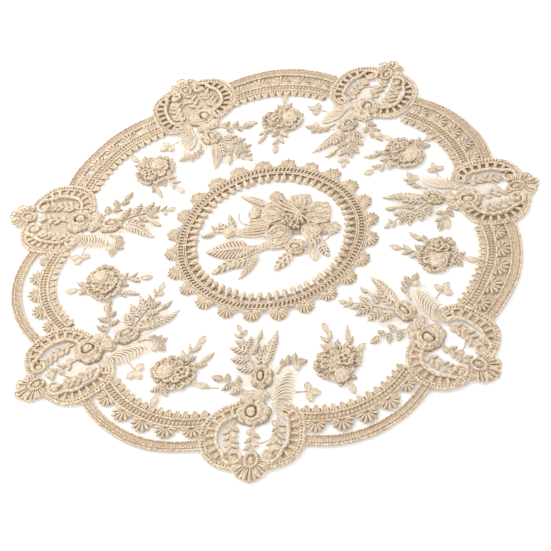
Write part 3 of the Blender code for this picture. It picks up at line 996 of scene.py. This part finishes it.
def makeRose(size, columns=48, rings=22, lobes=None):
    # a padded rose: a bead in a deep moat, a coiled collar, and scalloped petals round it
    look = roseLook
    lobes = lobes or look["lobes"]

    def surface(u, v):
        t = (v + 1) / 2
        angle = 2 * math.pi * u
        scallop = abs(math.cos(lobes * angle / 2)) ** 0.6
        r = size * t * (0.88 + 0.12 * scallop * t)
        tall = 1 + 0.2 * math.cos(2 * angle)
        bead, moat = look["bead"] * tall, look["moat"] * tall
        seam = look["collar"] + 0.06 * math.cos(angle) + 0.05 * math.cos(2 * angle + 1)
        if t < bead:
            ridge = look["beadRise"] * math.sqrt(max(0, 1 - (t / bead) ** 2))
        elif t < moat:
            ridge = -1.9
        elif t < seam:
            part = (t - moat) / (seam - moat)
            ridge = look["collarRise"] * math.sin(math.pi * part) ** 0.5
        else:
            part = (t - seam) / (1 - seam)
            ridge = look["lobeRise"] * math.sin(math.pi * min(1, part * 0.97)) ** 0.6
            ridge *= 1 - look["crease"] * (1 - scallop) * 0.6
        z = look["dome"] * (1 - t ** 3) + ridge
        x, y = [size * (1 - t) ** 1.5 * aside for aside in look["off"]]
        return x + r * math.cos(angle), y + r * math.sin(angle), onNet + 0.7 + max(-0.4, z)

    return padded("rose", columns, rings, surface, knotThread, size=(size * 6, size))


# Rose sprays of the cartouches.
sprayLook = {
    "rose": (147.0, -1.2, 11.4),
    "smallRose": (122.6, 2.8, 8.0),
    "stemWidth": 1.3,
    "spine": ((141, 10.2), (138, 12), (133.5, 12.2), (129, 12.6), (125, 14), (121.5, 16.8)),
    "barbs": 10,
    # where a barb passes and ends, as reach and side from its root, at the foot and at the tip
    "barbWays": (((-2.6, 3.2), (-3.0, 2.8)), ((-4.2, 7.2), (-4.6, 6.6)),
                 ((-3.6, 11.4), (-3.6, 10.6))),
    "barbWidth": 1.05,
    "lowTips": ((137, 22.5), (139.8, 20.5), (142, 23), (144.6, 22), (147.2, 24), (149.4, 21.4),
                (152.6, 20.5)),
    "lowWidth": 1.35,
    "spineWidth": 1.3,
    "veils": (((20, 14), (108, -4, -0.24)), ((14, 9), (126, 15, -0.24))),     # half sizes, spots
}

sprayStems = (
    ((120, 1), (114, -3.5), (108, -7), (103, -9), (95, -12), (83, -15)),
    ((103, -9), (99, -15)), ((109, -7), (106, -14)), ((96, -11.5), (91, -7)),
    ((116, 5), (104, 4.5), (93, 8)),
    ((120, 12.5), (115.5, 14.5), (113, 18), (111.6, 22), (110.8, 26.5)),
    ((104, -6), (95, -2.5), (86, 0)),
    ((134, -5), (128, -11), (123, -18.5), (120.5, -25), (119, -29)),
    ((117, -4), (112, -9)),
    ((131.5, 25), (131, 29), (130.5, 33)),
)

sprayTable = (
    # kind, root, tip, width share, lift
    ("leaf", (113, -1), (98, 2.5), 1.15, 0.0),
    ("fern", (114, 3), (84.5, 12), 2.3, 0.3),
    ("leaf", (103, -9), (97.5, -21.5), 1.15, 0.0),
    ("leaf", (109.5, -8), (107, -20), 1.15, 0.0),
    ("leaf", (98, -11), (91.5, -18.5), 0.85, 0.1),
    ("leaf", (100, -10), (90, -7), 0.95, 0.1),
    ("leaf", (105, -6), (97.5, -1.5), 0.9, 0.1),
    ("twist", (93, -2.5), (84, 1.2), 0.85, 0.0),
    ("twist", (90, -13), (86, -19), 0.7, 0.1),
    ("bud", (86, -14), (79, -16.5), 0.75, 0.1),
    ("bud", (88, -13.6), (84, -9.5), 0.6, 0.1),
    ("leaf", (117, -4), (114, -15), 1.0, 0.0),
    ("leaf", (126.5, -13), (119.5, -13.2), 0.9, 0.0),
    ("leaf", (122.5, -19.5), (116.5, -21), 0.85, 0.0),
    ("leaf", (129.5, -10), (132, -18), 1.0, 0.0),
    ("leaf", (124.5, -16.5), (128.5, -23.5), 0.95, 0.0),
    ("leaf", (120.8, -23), (117.5, -31), 1.0, 0.0),
    ("leaf", (114.2, 16), (109, 15), 0.85, 0.1),
    ("leaf", (112.6, 19), (105.6, 19.6), 0.9, 0.2),
    ("leaf", (111.4, 23), (103.8, 24.6), 0.95, 0.2),
    ("leaf", (111, 26), (109.2, 33), 1.0, 0.2),
    ("bud", (111.4, 23), (116.2, 27.4), 1.0, 0.1),
    ("fullPetal", (141, -2), (131.5, -8), 1.0, 0.1),
    ("fullPetal", (141, 2), (130.5, 2.5), 1.05, 0.3),
    ("bud", (131, 32.6), (124, 33), 1.05, 0.0),
    ("bud", (130.5, 33), (130.5, 41.5), 1.0, 0.0),
    ("bud", (130.5, 33), (137.8, 35.5), 1.05, 0.0),
)


def makePlume():
    # a soft feather: fine barbs that leave a spine one after another, arch over and droop
    look = sprayLook
    spine = evenly(smoothRoute(look["spine"]), 0.5)
    lines = []
    for t in spread(0, 1, look["barbs"]):
        x, y, _ = spine[round((0.05 + 0.9 * t) * (len(spine) - 1))]
        way = [(x + foot[0] + (head[0] - foot[0]) * t, y + foot[1] + (head[1] - foot[1]) * t)
               for foot, head in look["barbWays"]]
        droop = chance.uniform(0.6, 1.8) + 1.2 * t
        way.append((way[-1][0] + droop, way[-1][1] + 2.4 - 0.5 * droop))
        lines.append(smoothRoute([(x, y)] + way, 4))

    last = len(lines[0]) - 1

    def surface(u, v):
        # a veil under the nearer half of the barbs
        x, y = lines[round((v + 1) / 2 * (look["barbs"] - 1))][round(u * last / 2)]
        return x, y, onNet + 0.1

    barbs = [[(x, y, onNet + 0.6 + 0.6 * math.sin(math.pi * i / last), 1.15 - 0.5 * i / last)
              for i, (x, y) in enumerate(line)] for line in lines]
    root = look["spine"][0]
    low = []
    for i, tip in enumerate(look["lowTips"]):
        heading = math.atan2(tip[1] - root[1], tip[0] - root[0])
        arch = beside(((root[0] + tip[0]) / 2, (root[1] + tip[1]) / 2, heading), 2.4 - 0.6 * i)
        low.append([(x, y, onNet + 1.5, 0.75 + 0.35 * j / 8)
                    for j, (x, y) in enumerate(smoothRoute([root, arch, tip], 4))])
    rib = [(x, y, onNet + 0.9, 1.2 - 0.6 * i / len(spine)) for i, (x, y, _) in enumerate(spine)]
    return [threads("plume", barbs, look["barbWidth"], plumeThread),
            threads("lowBarbs", low, look["lowWidth"], leafThread),
            threads("plumeSpine", [rib[::3]], look["spineWidth"], leafThread),
            padded("plumePad", last // 2, look["barbs"] - 1, surface, veilThreads["light"])]


def makeSprayVeil(kind):
    # faint closer net behind the leaves of a spray
    return joinParts("sprayVeil", [makeBead("sprayVeil", half, 0.0, veilThreads[kind], spot, 30, 2)
                                   for half, spot in sprayLook["veils"]])


def makeSpray():
    look = sprayLook
    x, y, size = look["rose"]
    big = makeRose(size)
    parts = [put(big, x, y, size=0.86, wide=1.04, tall=1.0)]
    discard(big)
    x, y, size = look["smallRose"]
    small = makeRose(size, 36, 18, 6)
    parts.append(put(small, x, y, size=1.06, wide=0.94, tall=1.0))
    discard(small)
    parts.append(stems("stems", sprayStems, look["stemWidth"]))
    parts += dress(sprayTable)
    parts += makePlume()
    return joinParts("spray", parts)


# Sprigs in the cartouche windows.
sprigLook = {
    "stemWidth": 1.5,
    "leaf": (5.3, 0.7),      # the shortest leaf, and what each of the next two adds
    "fork": 0.85,            # how far a leaf turns from the stem, in radians
    "link": [(169, -0.5), (169.5, 6), (166, 12)],
}
sprigTable = (
    # root, tip, bend sideways, pairs of leaves
    ((151.5, -13), (176, -12.5), -1.5, 4),
    ((156, -1), (177, -1.5), 0.5, 3),
    ((150, 14.5), (173, 13), 2.0, 4),
)


def makeSprigs():
    look = sprigLook
    shortest, more = look["leaf"]
    parts = []
    routes = []
    for root, tip, bow, pairs in sprigTable:
        middle = beside(((root[0] + tip[0]) / 2, (root[1] + tip[1]) / 2, 0), bow)
        line = smoothRoute([root, middle, tip])
        routes.append([root, middle, tip])
        for i, (x, y, heading) in enumerate(evenly(line, 20 / (pairs * 2 + 1))[1:-1]):
            way = heading + look["fork"] * (1 if i % 2 else -1)
            end = polar(shortest + more * (i % 3), way, (x, y))
            parts.append(place(leaves["twist" if i % 3 else "bud"], (x, y), end, 0.85, 0.1))
        parts.append(place(leaves["bud"], beside((*tip, 0), 0, -3.5), beside((*tip, 0), 0, 3), 1.0))
    routes.append(look["link"])
    parts.append(stems("sprigStems", routes, look["stemWidth"], 0.7))
    return joinParts("sprigs", parts)


# Bouquets between the cartouches.
bouquetLook = {
    "centre": (118.5, 3.0),
    "half": (12.6, 16.0),
    "dome": (120.5, -2.5, 5.9),
    "flower": (117.5, 9.5),
    "firstDome": (130.5, 1.0, 5.0),      # the first gap's bouquet is made the other way about
    "firstFlower": (120, 7.5),
    # how far out, how many, size and height of each row of curled petals
    "rows": ((0.86, 15, 2.7, 1.6), (0.52, 8, 2.9, 2.3)),
    "curlWidth": 1.9, "petalWidth": 1.7, "ribWidth": 1.5, "lipWidth": 2.0, "stemWidth": 1.4,
    "shifts": ((5.2, -1.5), (3.2, 0.3), (3.8, -2.8), (2.1, -4.3), (0.4, -4.2), (1.0, 4.8),
               (8.4, -1.9)),
}

bouquetStems = (
    ((110, 3), (104, 3.5), (95, 5), (86, 6)),
    ((100, 4), (97, 1)), ((97, 4.6), (94, 8)),
    ((112, 10), (106, 15), (99, 19)),
    ((128, 3), (136, 3.5), (147, 3)),
)

bouquetTable = (
    ("bud", (93, 5.3), (83.5, 6.5), 0.95, 0.0),
    ("twist", (101, 4), (93.5, 0), 0.8, 0.0),
    ("twist", (99, 4.4), (92.5, 9), 0.8, 0.0),
    ("twist", (107, 4), (100, -2.5), 1.0, 0.0),
    ("leaf", (107, 6), (101, 10), 0.9, 0.0),
    ("twist", (105, 14.5), (94, 20.5), 1.0, 0.0),
    ("leaf", (109, 12), (104, 20.5), 0.8, 0.0),
    ("leaf", (130, 3), (137, 9), 1.0, 0.0),
    ("leaf", (131, 2), (138, -3.5), 1.0, 0.0),
    ("bud", (137, 3.3), (147, 3.3), 1.0, 0.0),
)
tendrils = {
    # stems and leaves that reach from a bouquet towards the next spray, by gap
    0: ((), (("bud", (115, 17), (113.5, 25), 0.9, 0.0),)),
    1: ((), (("bud", (120, 27), (116.5, 36.5), 1.0, 0.0),)),
    2: ((((119, 16), (120.5, 24), (117, 34), (116, 40)),),
        (("bud", (120.5, 20), (119, 29), 0.9, 0.0), ("bud", (118.5, 29), (114.5, 37.5), 0.9, 0.1))),
    3: ((), (("bud", (118.5, 22), (118, 33), 1.0, 0.0),)),
    4: ((), ()),
    5: ((((116, 16), (117, 24), (119, 36)),),
        (("leaf", (116, 18), (117.5, 27), 0.9, 0.0), ("twist", (118, 26), (119, 36), 0.9, 0.1))),
    6: ((((119, 14), (121, 22), (120, 30), (117, 38)),),
        (("bud", (121, 20), (118.5, 31), 0.9, 0.1),)),
}


def curl(spot, radius, facing, sweep, height):
    # a short coiled thread, with its back to the way it faces
    return [(*polar(radius * (1 - 0.35 * t), facing + sweep * (t - 0.5), spot),
             onNet + height * (0.75 + 0.25 * math.sin(math.pi * t)),
             0.75 + 0.3 * math.sin(math.pi * t)) for t in spread(0, 1, 11)]


def makeBouquet(gap):
    # each bouquet is worked by hand, so its curled petals differ a little
    look = bouquetLook
    routes, extra = tendrils[gap]
    x, y = look["centre"]
    a, b = look["half"]
    parts = [makeBead("bouquetGround", (a - 1.0, b - 1.0), 1.6, knotThread, (x, y, 0), 22, 3),
             stems("bouquetStems", bouquetStems + routes, look["stemWidth"])]
    parts += dress(bouquetTable + extra)
    curls = []
    for far, count, size, height in look["rows"]:
        for i in range(count):
            way = 2 * math.pi * (i + chance.uniform(-0.2, 0.2)) / count
            out = far + chance.uniform(-0.04, 0.05)
            spot = (x + a * out * math.cos(way), y + b * out * math.sin(way))
            facing = way + chance.uniform(-0.5, 0.5)
            wide = size * chance.uniform(0.88, 1.12)
            curls.append(curl(spot, wide, facing, 4.9, height))
            parts.append(put(knot, *polar(wide * 0.25, facing, spot), math.degrees(facing),
                             size=wide * 0.62, lift=height * 0.35, wide=wide * 0.5, tall=1.2))
    parts.append(threads("curls", curls, look["curlWidth"], knotThread))
    spot = look["firstFlower" if gap == 0 else "flower"]
    petals = [curl(polar(3.0, math.radians(72 * i + 10), spot), 2.0, math.radians(72 * i + 10),
                   4.6, 3.1) for i in range(5)]
    parts.append(threads("flowerCurls", petals, look["petalWidth"], knotThread))
    parts.append(put(knot, *spot, size=1.6, lift=2.2, tall=1.3))
    x, y, size = look["firstDome" if gap == 0 else "dome"]
    parts.append(put(pad, x, y, size=size, lift=0.9, wide=size * 1.02, tall=2.5))
    ribs = []
    for off in spread(-0.78, 0.78, 6):
        half = math.sqrt(1 - off * off)
        ribs.append([(x + size * off, y + size * half * t,
                      onNet + 1.0 + 2.5 * half * math.sqrt(1 - 0.9 * t * t))
                     for t in spread(-1, 1, 9)])
    parts.append(threads("domeRibs", ribs, look["ribWidth"], knotThread))
    ring = [curl((x, y), size + 1.7, chance.uniform(-0.5, 0.5), 3.6, 2.5)]
    parts.append(threads("lip", ring, look["lipWidth"], knotThread))
    return joinParts("bouquet", parts)


# Centre ring.
ringLook = {
    "turned": 1.6,
    "cords": (61.2, 62.5, 67.1, 68.5), "cordWidth": 1.35,
    "stitches": 140, "stitchWidth": 1.15, "stitchLine": 64.8,
    "knobs": 61, "knobFrom": 61.0, "knobTo": 53.2, "knobWidth": 4.4,
    "fans": 24, "fanLine": 69.0, "fanTall": 8.6, "fanRibs": 9, "fanRibWidth": 2.0,
    "gapShades": ((64.8, 5.6), (59.2, 4.6)),       # strips of painted shade under the stitches and knobs: radius and width
}


def makeRing():
    look = ringLook
    cords = [beaded(ringRoute((0, 0), (r, r), 0, 180), onNet + 1.2) for r in look["cords"]]
    parts = [threads("ringCords", cords, look["cordWidth"], cordThread, sides=8)]
    stitches = []
    for i in range(look["stitches"]):
        a = 2 * math.pi * i / look["stitches"]
        stitches.append([(*polar(look["stitchLine"] + out, a + math.radians(side)), onNet + z, w)
                         for out, side, z, w in ((-1.9, -0.7, 0.8, 0.8), (-1.2, 0.55, 1.2, 1.0),
                                                 (0, 0, 1.5, 1.1), (1.2, -0.55, 1.2, 1.0),
                                                 (1.9, 0.7, 0.8, 0.8))])
    parts.append(threads("ringStitches", stitches, look["stitchWidth"], satinThread))
    knobs = []
    for i in range(look["knobs"]):
        a = 2 * math.pi * (i + chance.uniform(-0.08, 0.08)) / look["knobs"]
        end = look["knobTo"] + chance.uniform(-0.7, 0.5)
        knobs.append([(*polar(look["knobFrom"] + (end - look["knobFrom"]) * t, a),
                       onNet + z, w)
                      for t, z, w in ((0, 0.7, 0.4), (0.3, 0.9, 0.55), (0.58, 1.4, 0.95),
                                      (0.82, 1.4, 1.0), (0.95, 1.25, 0.8), (1, 1.1, 0.45))])
    parts.append(threads("knobs", knobs, look["knobWidth"], cordThread, sides=8))
    for i in range(look["fans"]):
        a = 360 * (i + 0.5) / look["fans"]
        root = polar(look["fanLine"], math.radians(a))
        size = chance.uniform(0.92, 1.06)
        parts.append(put(ringFan, *root, a, size))
    # flat strips of painted shade under the stitches and the knobs
    for r, width in look["gapShades"]:
        gapShade = threads("ringShadeStrip", [ringRoute((0, 0), (r, r), 0, 120)], width, shadeSheetThread)
        gapShade.data.transform(Matrix.Translation((0, 0, onNet + 0.1))
                              @ Matrix.Diagonal((1, 1, 0.12, 1)))
        parts.append(gapShade)
    return joinParts("ring", parts)


def makeRingFan():
    # a rounded fan of ribs on a low pad
    look = ringLook
    ribs = ribRoutes((0, 0), 0, look["fanRibs"], 166, 0.8, look["fanTall"], rise=1.4,
                     squash=0.84, lobe=41.5)
    return joinParts("ringFan", [threads("ringFan", ribs, look["fanRibWidth"], satinThread),
                                 makeBead("fanPad", (4.6, 5.8), 0.35, tapeThread, (3.4, 0, 0),
                                          rings=2)])


# Centre spray.
centreLook = {
    "stemWidth": 2.0, "overWidth": 1.5,
    "sheafHalf": 4.6,
    "heartShade": (17.0, 17.0, 0), "heartHalf": (8.8, 7.6),       # the middle of the big flower, with a near-black sheet of painted shade between its knots
    "stamensFrom": (20.5, 22.5), "stamenWidth": 1.0,
    "stamenWays": (120, 150, 178, 205, 232, 260, 295, 20),
    "knots": 19, "knotsAt": (16.6, 16.6), "knotsReach": 7.8,
    "rose": (19.9, -6.5, 7.8),
    "shift": (0.4, -2.8),
}

centreStems = (
    ((20, 23), (12, 34), (3, 42)), ((20, 24), (14, 36), (5, 44)), ((20, 24), (8, 34), (0, 38)),
    ((-24, 9), (-31, 11), (-38, 12), (-44, 9.5), (-50, 8.5)),
    ((2, -6), (8, -4), (14, -1.5)), ((2, -7.5), (9, -6.5), (15, -4)),
    ((4, -5), (-4, -8), (-14, -14), (-25, -20)),
    ((3, -4), (-8, -4), (-17, -5)),
    ((19, -11), (14, -15), (11, -20), (6, -26)),
    ((29, 0), (31, -6), (30, -14)), ((31, 1), (34, -6), (33, -14)), ((27, 0), (27, -8), (28, -13)),
    ((36, 2), (41, -5), (42, -11)), ((40, 14), (44, 4), (40, -2)),
)

sheaf = (
    # the bundle of stems that runs to the left-hand bud
    ((0, 16.5), (-8, 15.6), (-16, 13.6), (-24, 11.4), (-31, 11)),
    ((-1, 14.2), (-8, 13.4), (-16, 12), (-25, 10.4)),
    ((-1, 11.8), (-8, 10.8), (-16, 10), (-26, 9.6)),
    ((-1, 9.2), (-8, 7.8), (-16, 8.0), (-26, 8.8)),
    ((-1, 6.6), (-7, 4.6), (-14, 5.2), (-25, 8)),
    ((1, 18.4), (-7, 18), (-14, 16.8), (-20, 18), (-23.5, 22), (-24, 28)),
    ((2, 21), (-6, 20.8), (-12, 20.5), (-16, 23), (-17, 28)),
)

centreShades = (
    # painted shade between the petals, as flat sheets: spot and half sizes
    (19, 20.5, 16, 14.5), (-11, 20, 5, 3.4), (1, 35, 6, 3.6), (39, 12.5, 5, 8), (8, -4, 9.5, 2.8),
)

overStems = (
    # cords that lie over the petals
    ((21, 23.5), (14, 29), (8, 33.5), (4, 38)), ((21.5, 24), (16, 30.5), (10, 36), (6, 40)),
    ((20.5, 23), (12, 27), (6, 30.5), (1, 35)), ((24.5, 29), (21, 23.5), (18, 20)),
    ((22, 22), (26, 18), (29, 14)),
)

centreTable = (
    # kind, root, tip, width share, lift
    ("fern", (-4, 35.5), (-25, 46), 2.3, 0.0),
    ("petal", (-4, 28), (-17, 29), 1.25, 0.1),
    ("broad", (-13, -5), (-45, -7), 3.1, 0.0),
    ("fern", (-6, -12), (-18, -35), 2.0, 0.0),
    ("leaf", (-22, -17), (-38, -28), 1.7, 0.0),
    ("leaf", (-12, -16), (-27, -24), 1.5, 0.1),
    ("twist", (4, -1), (-9, -8), 1.7, 0.2),
    ("twist", (-8, -6), (-22, -14), 1.4, 0.2),
    ("leaf", (17, -12), (6.5, -28), 1.9, 0.0),
    ("leaf", (37, 3), (29, -6), 1.5, 0.0),
    ("leaf", (38, -6), (44, -17), 1.4, 0.0),
    ("bud", (31, -9), (35, -20), 1.4, 0.0),
    ("fan", (38, 12), (50.5, 9), 1.0, 0.0),
    ("leaf", (-26, 10), (-31.5, 29), 1.2, 0.1),
    ("leaf", (-29, 9.5), (-39, 21), 1.35, 0.0),
    ("petal", (-22, 8.5), (-33, 12), 1.15, 0.1),
    ("leaf", (-36, 11.5), (-44, 18), 0.9, 0.0),
    ("leaf", (-40, 10.5), (-50, 7.5), 0.95, 0.0),
    ("round", (8, 38), (-1, 46), 1.15, 0.0),
    ("round", (10.8, 24.5), (-7, 28.5), 1.85, 0.0),
    ("round", (14.2, 11.6), (0.5, -0.8), 1.95, 0.1),
    ("round", (20.8, 27.5), (19.8, 44), 1.8, 0.05),
    ("round", (24.5, 24.5), (42.5, 25.5), 2.3, 0.1),
    ("round", (24.5, 14), (34.5, 2.5), 1.45, 0.2),
)


def makeCentreSpray():
    look = centreLook
    parts = [stems("centreStems", centreStems, look["stemWidth"], 0.8),
             stems("overStems", overStems, look["overWidth"], 3.1),
             # a low strip of painted shade under the sheaf
             makeStrip("sheafShade", smoothRoute([(2, 12), (-8, 12), (-17, 10.5)]),
                       look["sheafHalf"], 0.1, gapShadeThread),
             stems("sheaf", sheaf, look["stemWidth"], 1.0)]
    for x, y, wide, tall in centreShades:
        # painted shade: flat sheets between the petals
        parts.append(makeBead("flowerShade", (wide, tall), 0.7, shadeSheetThread, (x, y, 0), 28, 2))
    parts += dress(centreTable)
    # painted shade: a near-black sheet under the knots of the heart
    parts.append(makeBead("heartShadeSheet", look["heartHalf"], 2.9, heartShadeThread, look["heartShade"], 20))
    root = look["stamensFrom"]
    stamens = []
    for way in look["stamenWays"]:
        long = 11.5 if 110 < way < 290 else 8
        end = polar(long, math.radians(way), root)
        stamens.append([(*root, onNet + 3.0),
                        (*polar(long * 0.5, math.radians(way + 4), root), onNet + 3.2),
                        (*end, onNet + 2.4)])
        parts.append(put(knot, *end, size=chance.uniform(1.2, 1.6), lift=1.6, tall=1.3))
    for i in range(look["knots"]):
        spot = polar(look["knotsReach"] * math.sqrt((i + 0.5) / look["knots"]),
                     2.4 * i + chance.uniform(-0.3, 0.3), look["knotsAt"])
        parts.append(put(knot, *spot, size=chance.uniform(1.05, 1.4), lift=2.5, tall=1.3))
    parts.append(threads("stamens", stamens, look["stamenWidth"], leafThread))
    x, y, size = look["rose"]
    small = makeRose(size, 36, 18, 6)
    parts.append(put(small, x, y))
    discard(small)
    return joinParts("centreFlowers", parts)


ringFan = makeRingFan()
sprayPart = makeSpray()
sprigPart = makeSprigs()
for k in range(sectors):
    axis = firstAxis + k * turn
    n = k + 1
    spray = withVeil(sprayPart, makeSprayVeil, veilLook["sprays"][k])
    sew(spray, f"roseSpray_{n}", axis, f"rose_spray_{n}")
    discard(spray)
    sprigs = withVeil(sprigPart, makeWindowVeil, veilLook["windows"][k])
    sew(sprigs, f"windowSprigs_{n}", axis, f"sprigs_{n}")
    discard(sprigs)
    bouquet = makeBouquet(k)
    sew(bouquet, f"netBouquet_{n}", axis + turn / 2, f"bouquet_{n}",
        shift=bouquetLook["shifts"][k], stretched=False)
    discard(bouquet)
discard(sprayPart, sprigPart)
print("sprays and bouquets laid")

ringPart = makeRing()
centrePart = makeCentreSpray()
sew(ringPart, "centreRing", math.radians(ringLook["turned"]), "centre_ring")
sew(centrePart, "centreSpray", 0, "centre_spray", shift=centreLook["shift"],
    stretched=False)
discard(ringPart, centrePart, ringFan, knot, pad, *leaves.values())
print("centre laid")


# Net.
netLook = {
    "height": 0.9,           # just under the threads
    "insets": (0.88, 0.86, 0.84, 0.8, 0.75, 0.66, 0.5),      # each ring of faces to the last
}


def rimOfNet():
    # the outline of the cut net, in order round the centre
    rim = {}
    for vertex in bpy.data.objects["net_ground"].data.vertices:
        x, y = vertex.co.x, vertex.co.y
        key = round(math.degrees(math.atan2(y, x)), 2)
        if math.hypot(x, y) > math.hypot(*rim.get(key, (0, 0))):
            rim[key] = (x, y)
    return [rim[key] for key in sorted(rim)]


def makeNetSheet():
    rim = rimOfNet()
    height = netLook["height"]
    bpy.ops.object.select_all(action="DESELECT")
    bpy.ops.mesh.primitive_circle_add(vertices=len(rim), radius=0.1, fill_type="NGON")
    sheet = bpy.context.object
    for vertex, (x, y) in zip(sheet.data.vertices, rim):
        vertex.co = (x * 1000, y * 1000, height)
    bpy.ops.object.mode_set(mode="EDIT")
    bpy.ops.mesh.select_all(action="SELECT")
    for share in netLook["insets"]:
        bpy.ops.mesh.inset(thickness=0)
        bpy.ops.transform.resize(value=(share, share, 1), center_override=(0, 0, height))
    bpy.ops.mesh.select_all(action="SELECT")
    bpy.ops.mesh.normals_make_consistent(inside=False)
    bpy.ops.object.mode_set(mode="OBJECT")
    if sheet.data.polygons[0].normal.z < 0:
        sheet.data.flip_normals()
    sheet.data.materials.append(netThread)
    return sheet


netSheet = makeNetSheet()
netPiece = sew(netSheet, "netSheet", 0, "net_ground")
discard(netSheet)


# Floor, light and camera.
studio = {
    "floor": 3.0, "floorHeight": -0.0002,
    "floorTone": (0.95, 0.95, 0.95),
    "floorGlow": 0.22,
    "world": 1.0,
    "keyPlace": (-0.55, 0.19, 0.65), "keySize": 0.55, "keyPower": 4.6,
    "cameraPlace": (0.1715, -0.6338, 0.6995),
    "cameraTurn": (40.77, 9.50, 4.43),
    "lens": 88.44,
}


def makeStudio():
    look = studio
    bpy.ops.object.select_all(action="DESELECT")
    bpy.ops.mesh.primitive_plane_add(size=look["floor"], location=(0, 0, look["floorHeight"]))
    floor = bpy.context.object
    floor.name = "floor"
    paint, tree, shader = newFinish("floorPaint")
    feed(tree, shader, {"Base Color": (*look["floorTone"], 1), "Roughness": 0.9,
                        "Emission Color": (1, 1, 1, 1), "Emission Strength": look["floorGlow"]})
    floor.data.materials.append(paint)

    world = bpy.data.worlds.new("studioLight")
    world.use_nodes = True
    feed(world.node_tree, world.node_tree.nodes["Background"],
         {"Strength": look["world"], "Color": (1, 1, 1, 1)})
    bpy.context.scene.world = world

    bpy.ops.object.light_add(type="AREA", location=look["keyPlace"])
    key = bpy.context.object
    key.data.size = look["keySize"]
    key.data.energy = look["keyPower"]
    key.rotation_euler = Vector(look["keyPlace"]).to_track_quat("Z", "Y").to_euler()

    bpy.ops.object.camera_add(location=look["cameraPlace"],
                              rotation=[math.radians(a) for a in look["cameraTurn"]])
    camera = bpy.context.object
    camera.data.lens = look["lens"]
    camera.data.sensor_width = 36
    camera.data.clip_start = 0.01
    bpy.context.scene.camera = camera
    bpy.context.scene.view_settings.view_transform = "Standard"


makeStudio()
print("studio ready")
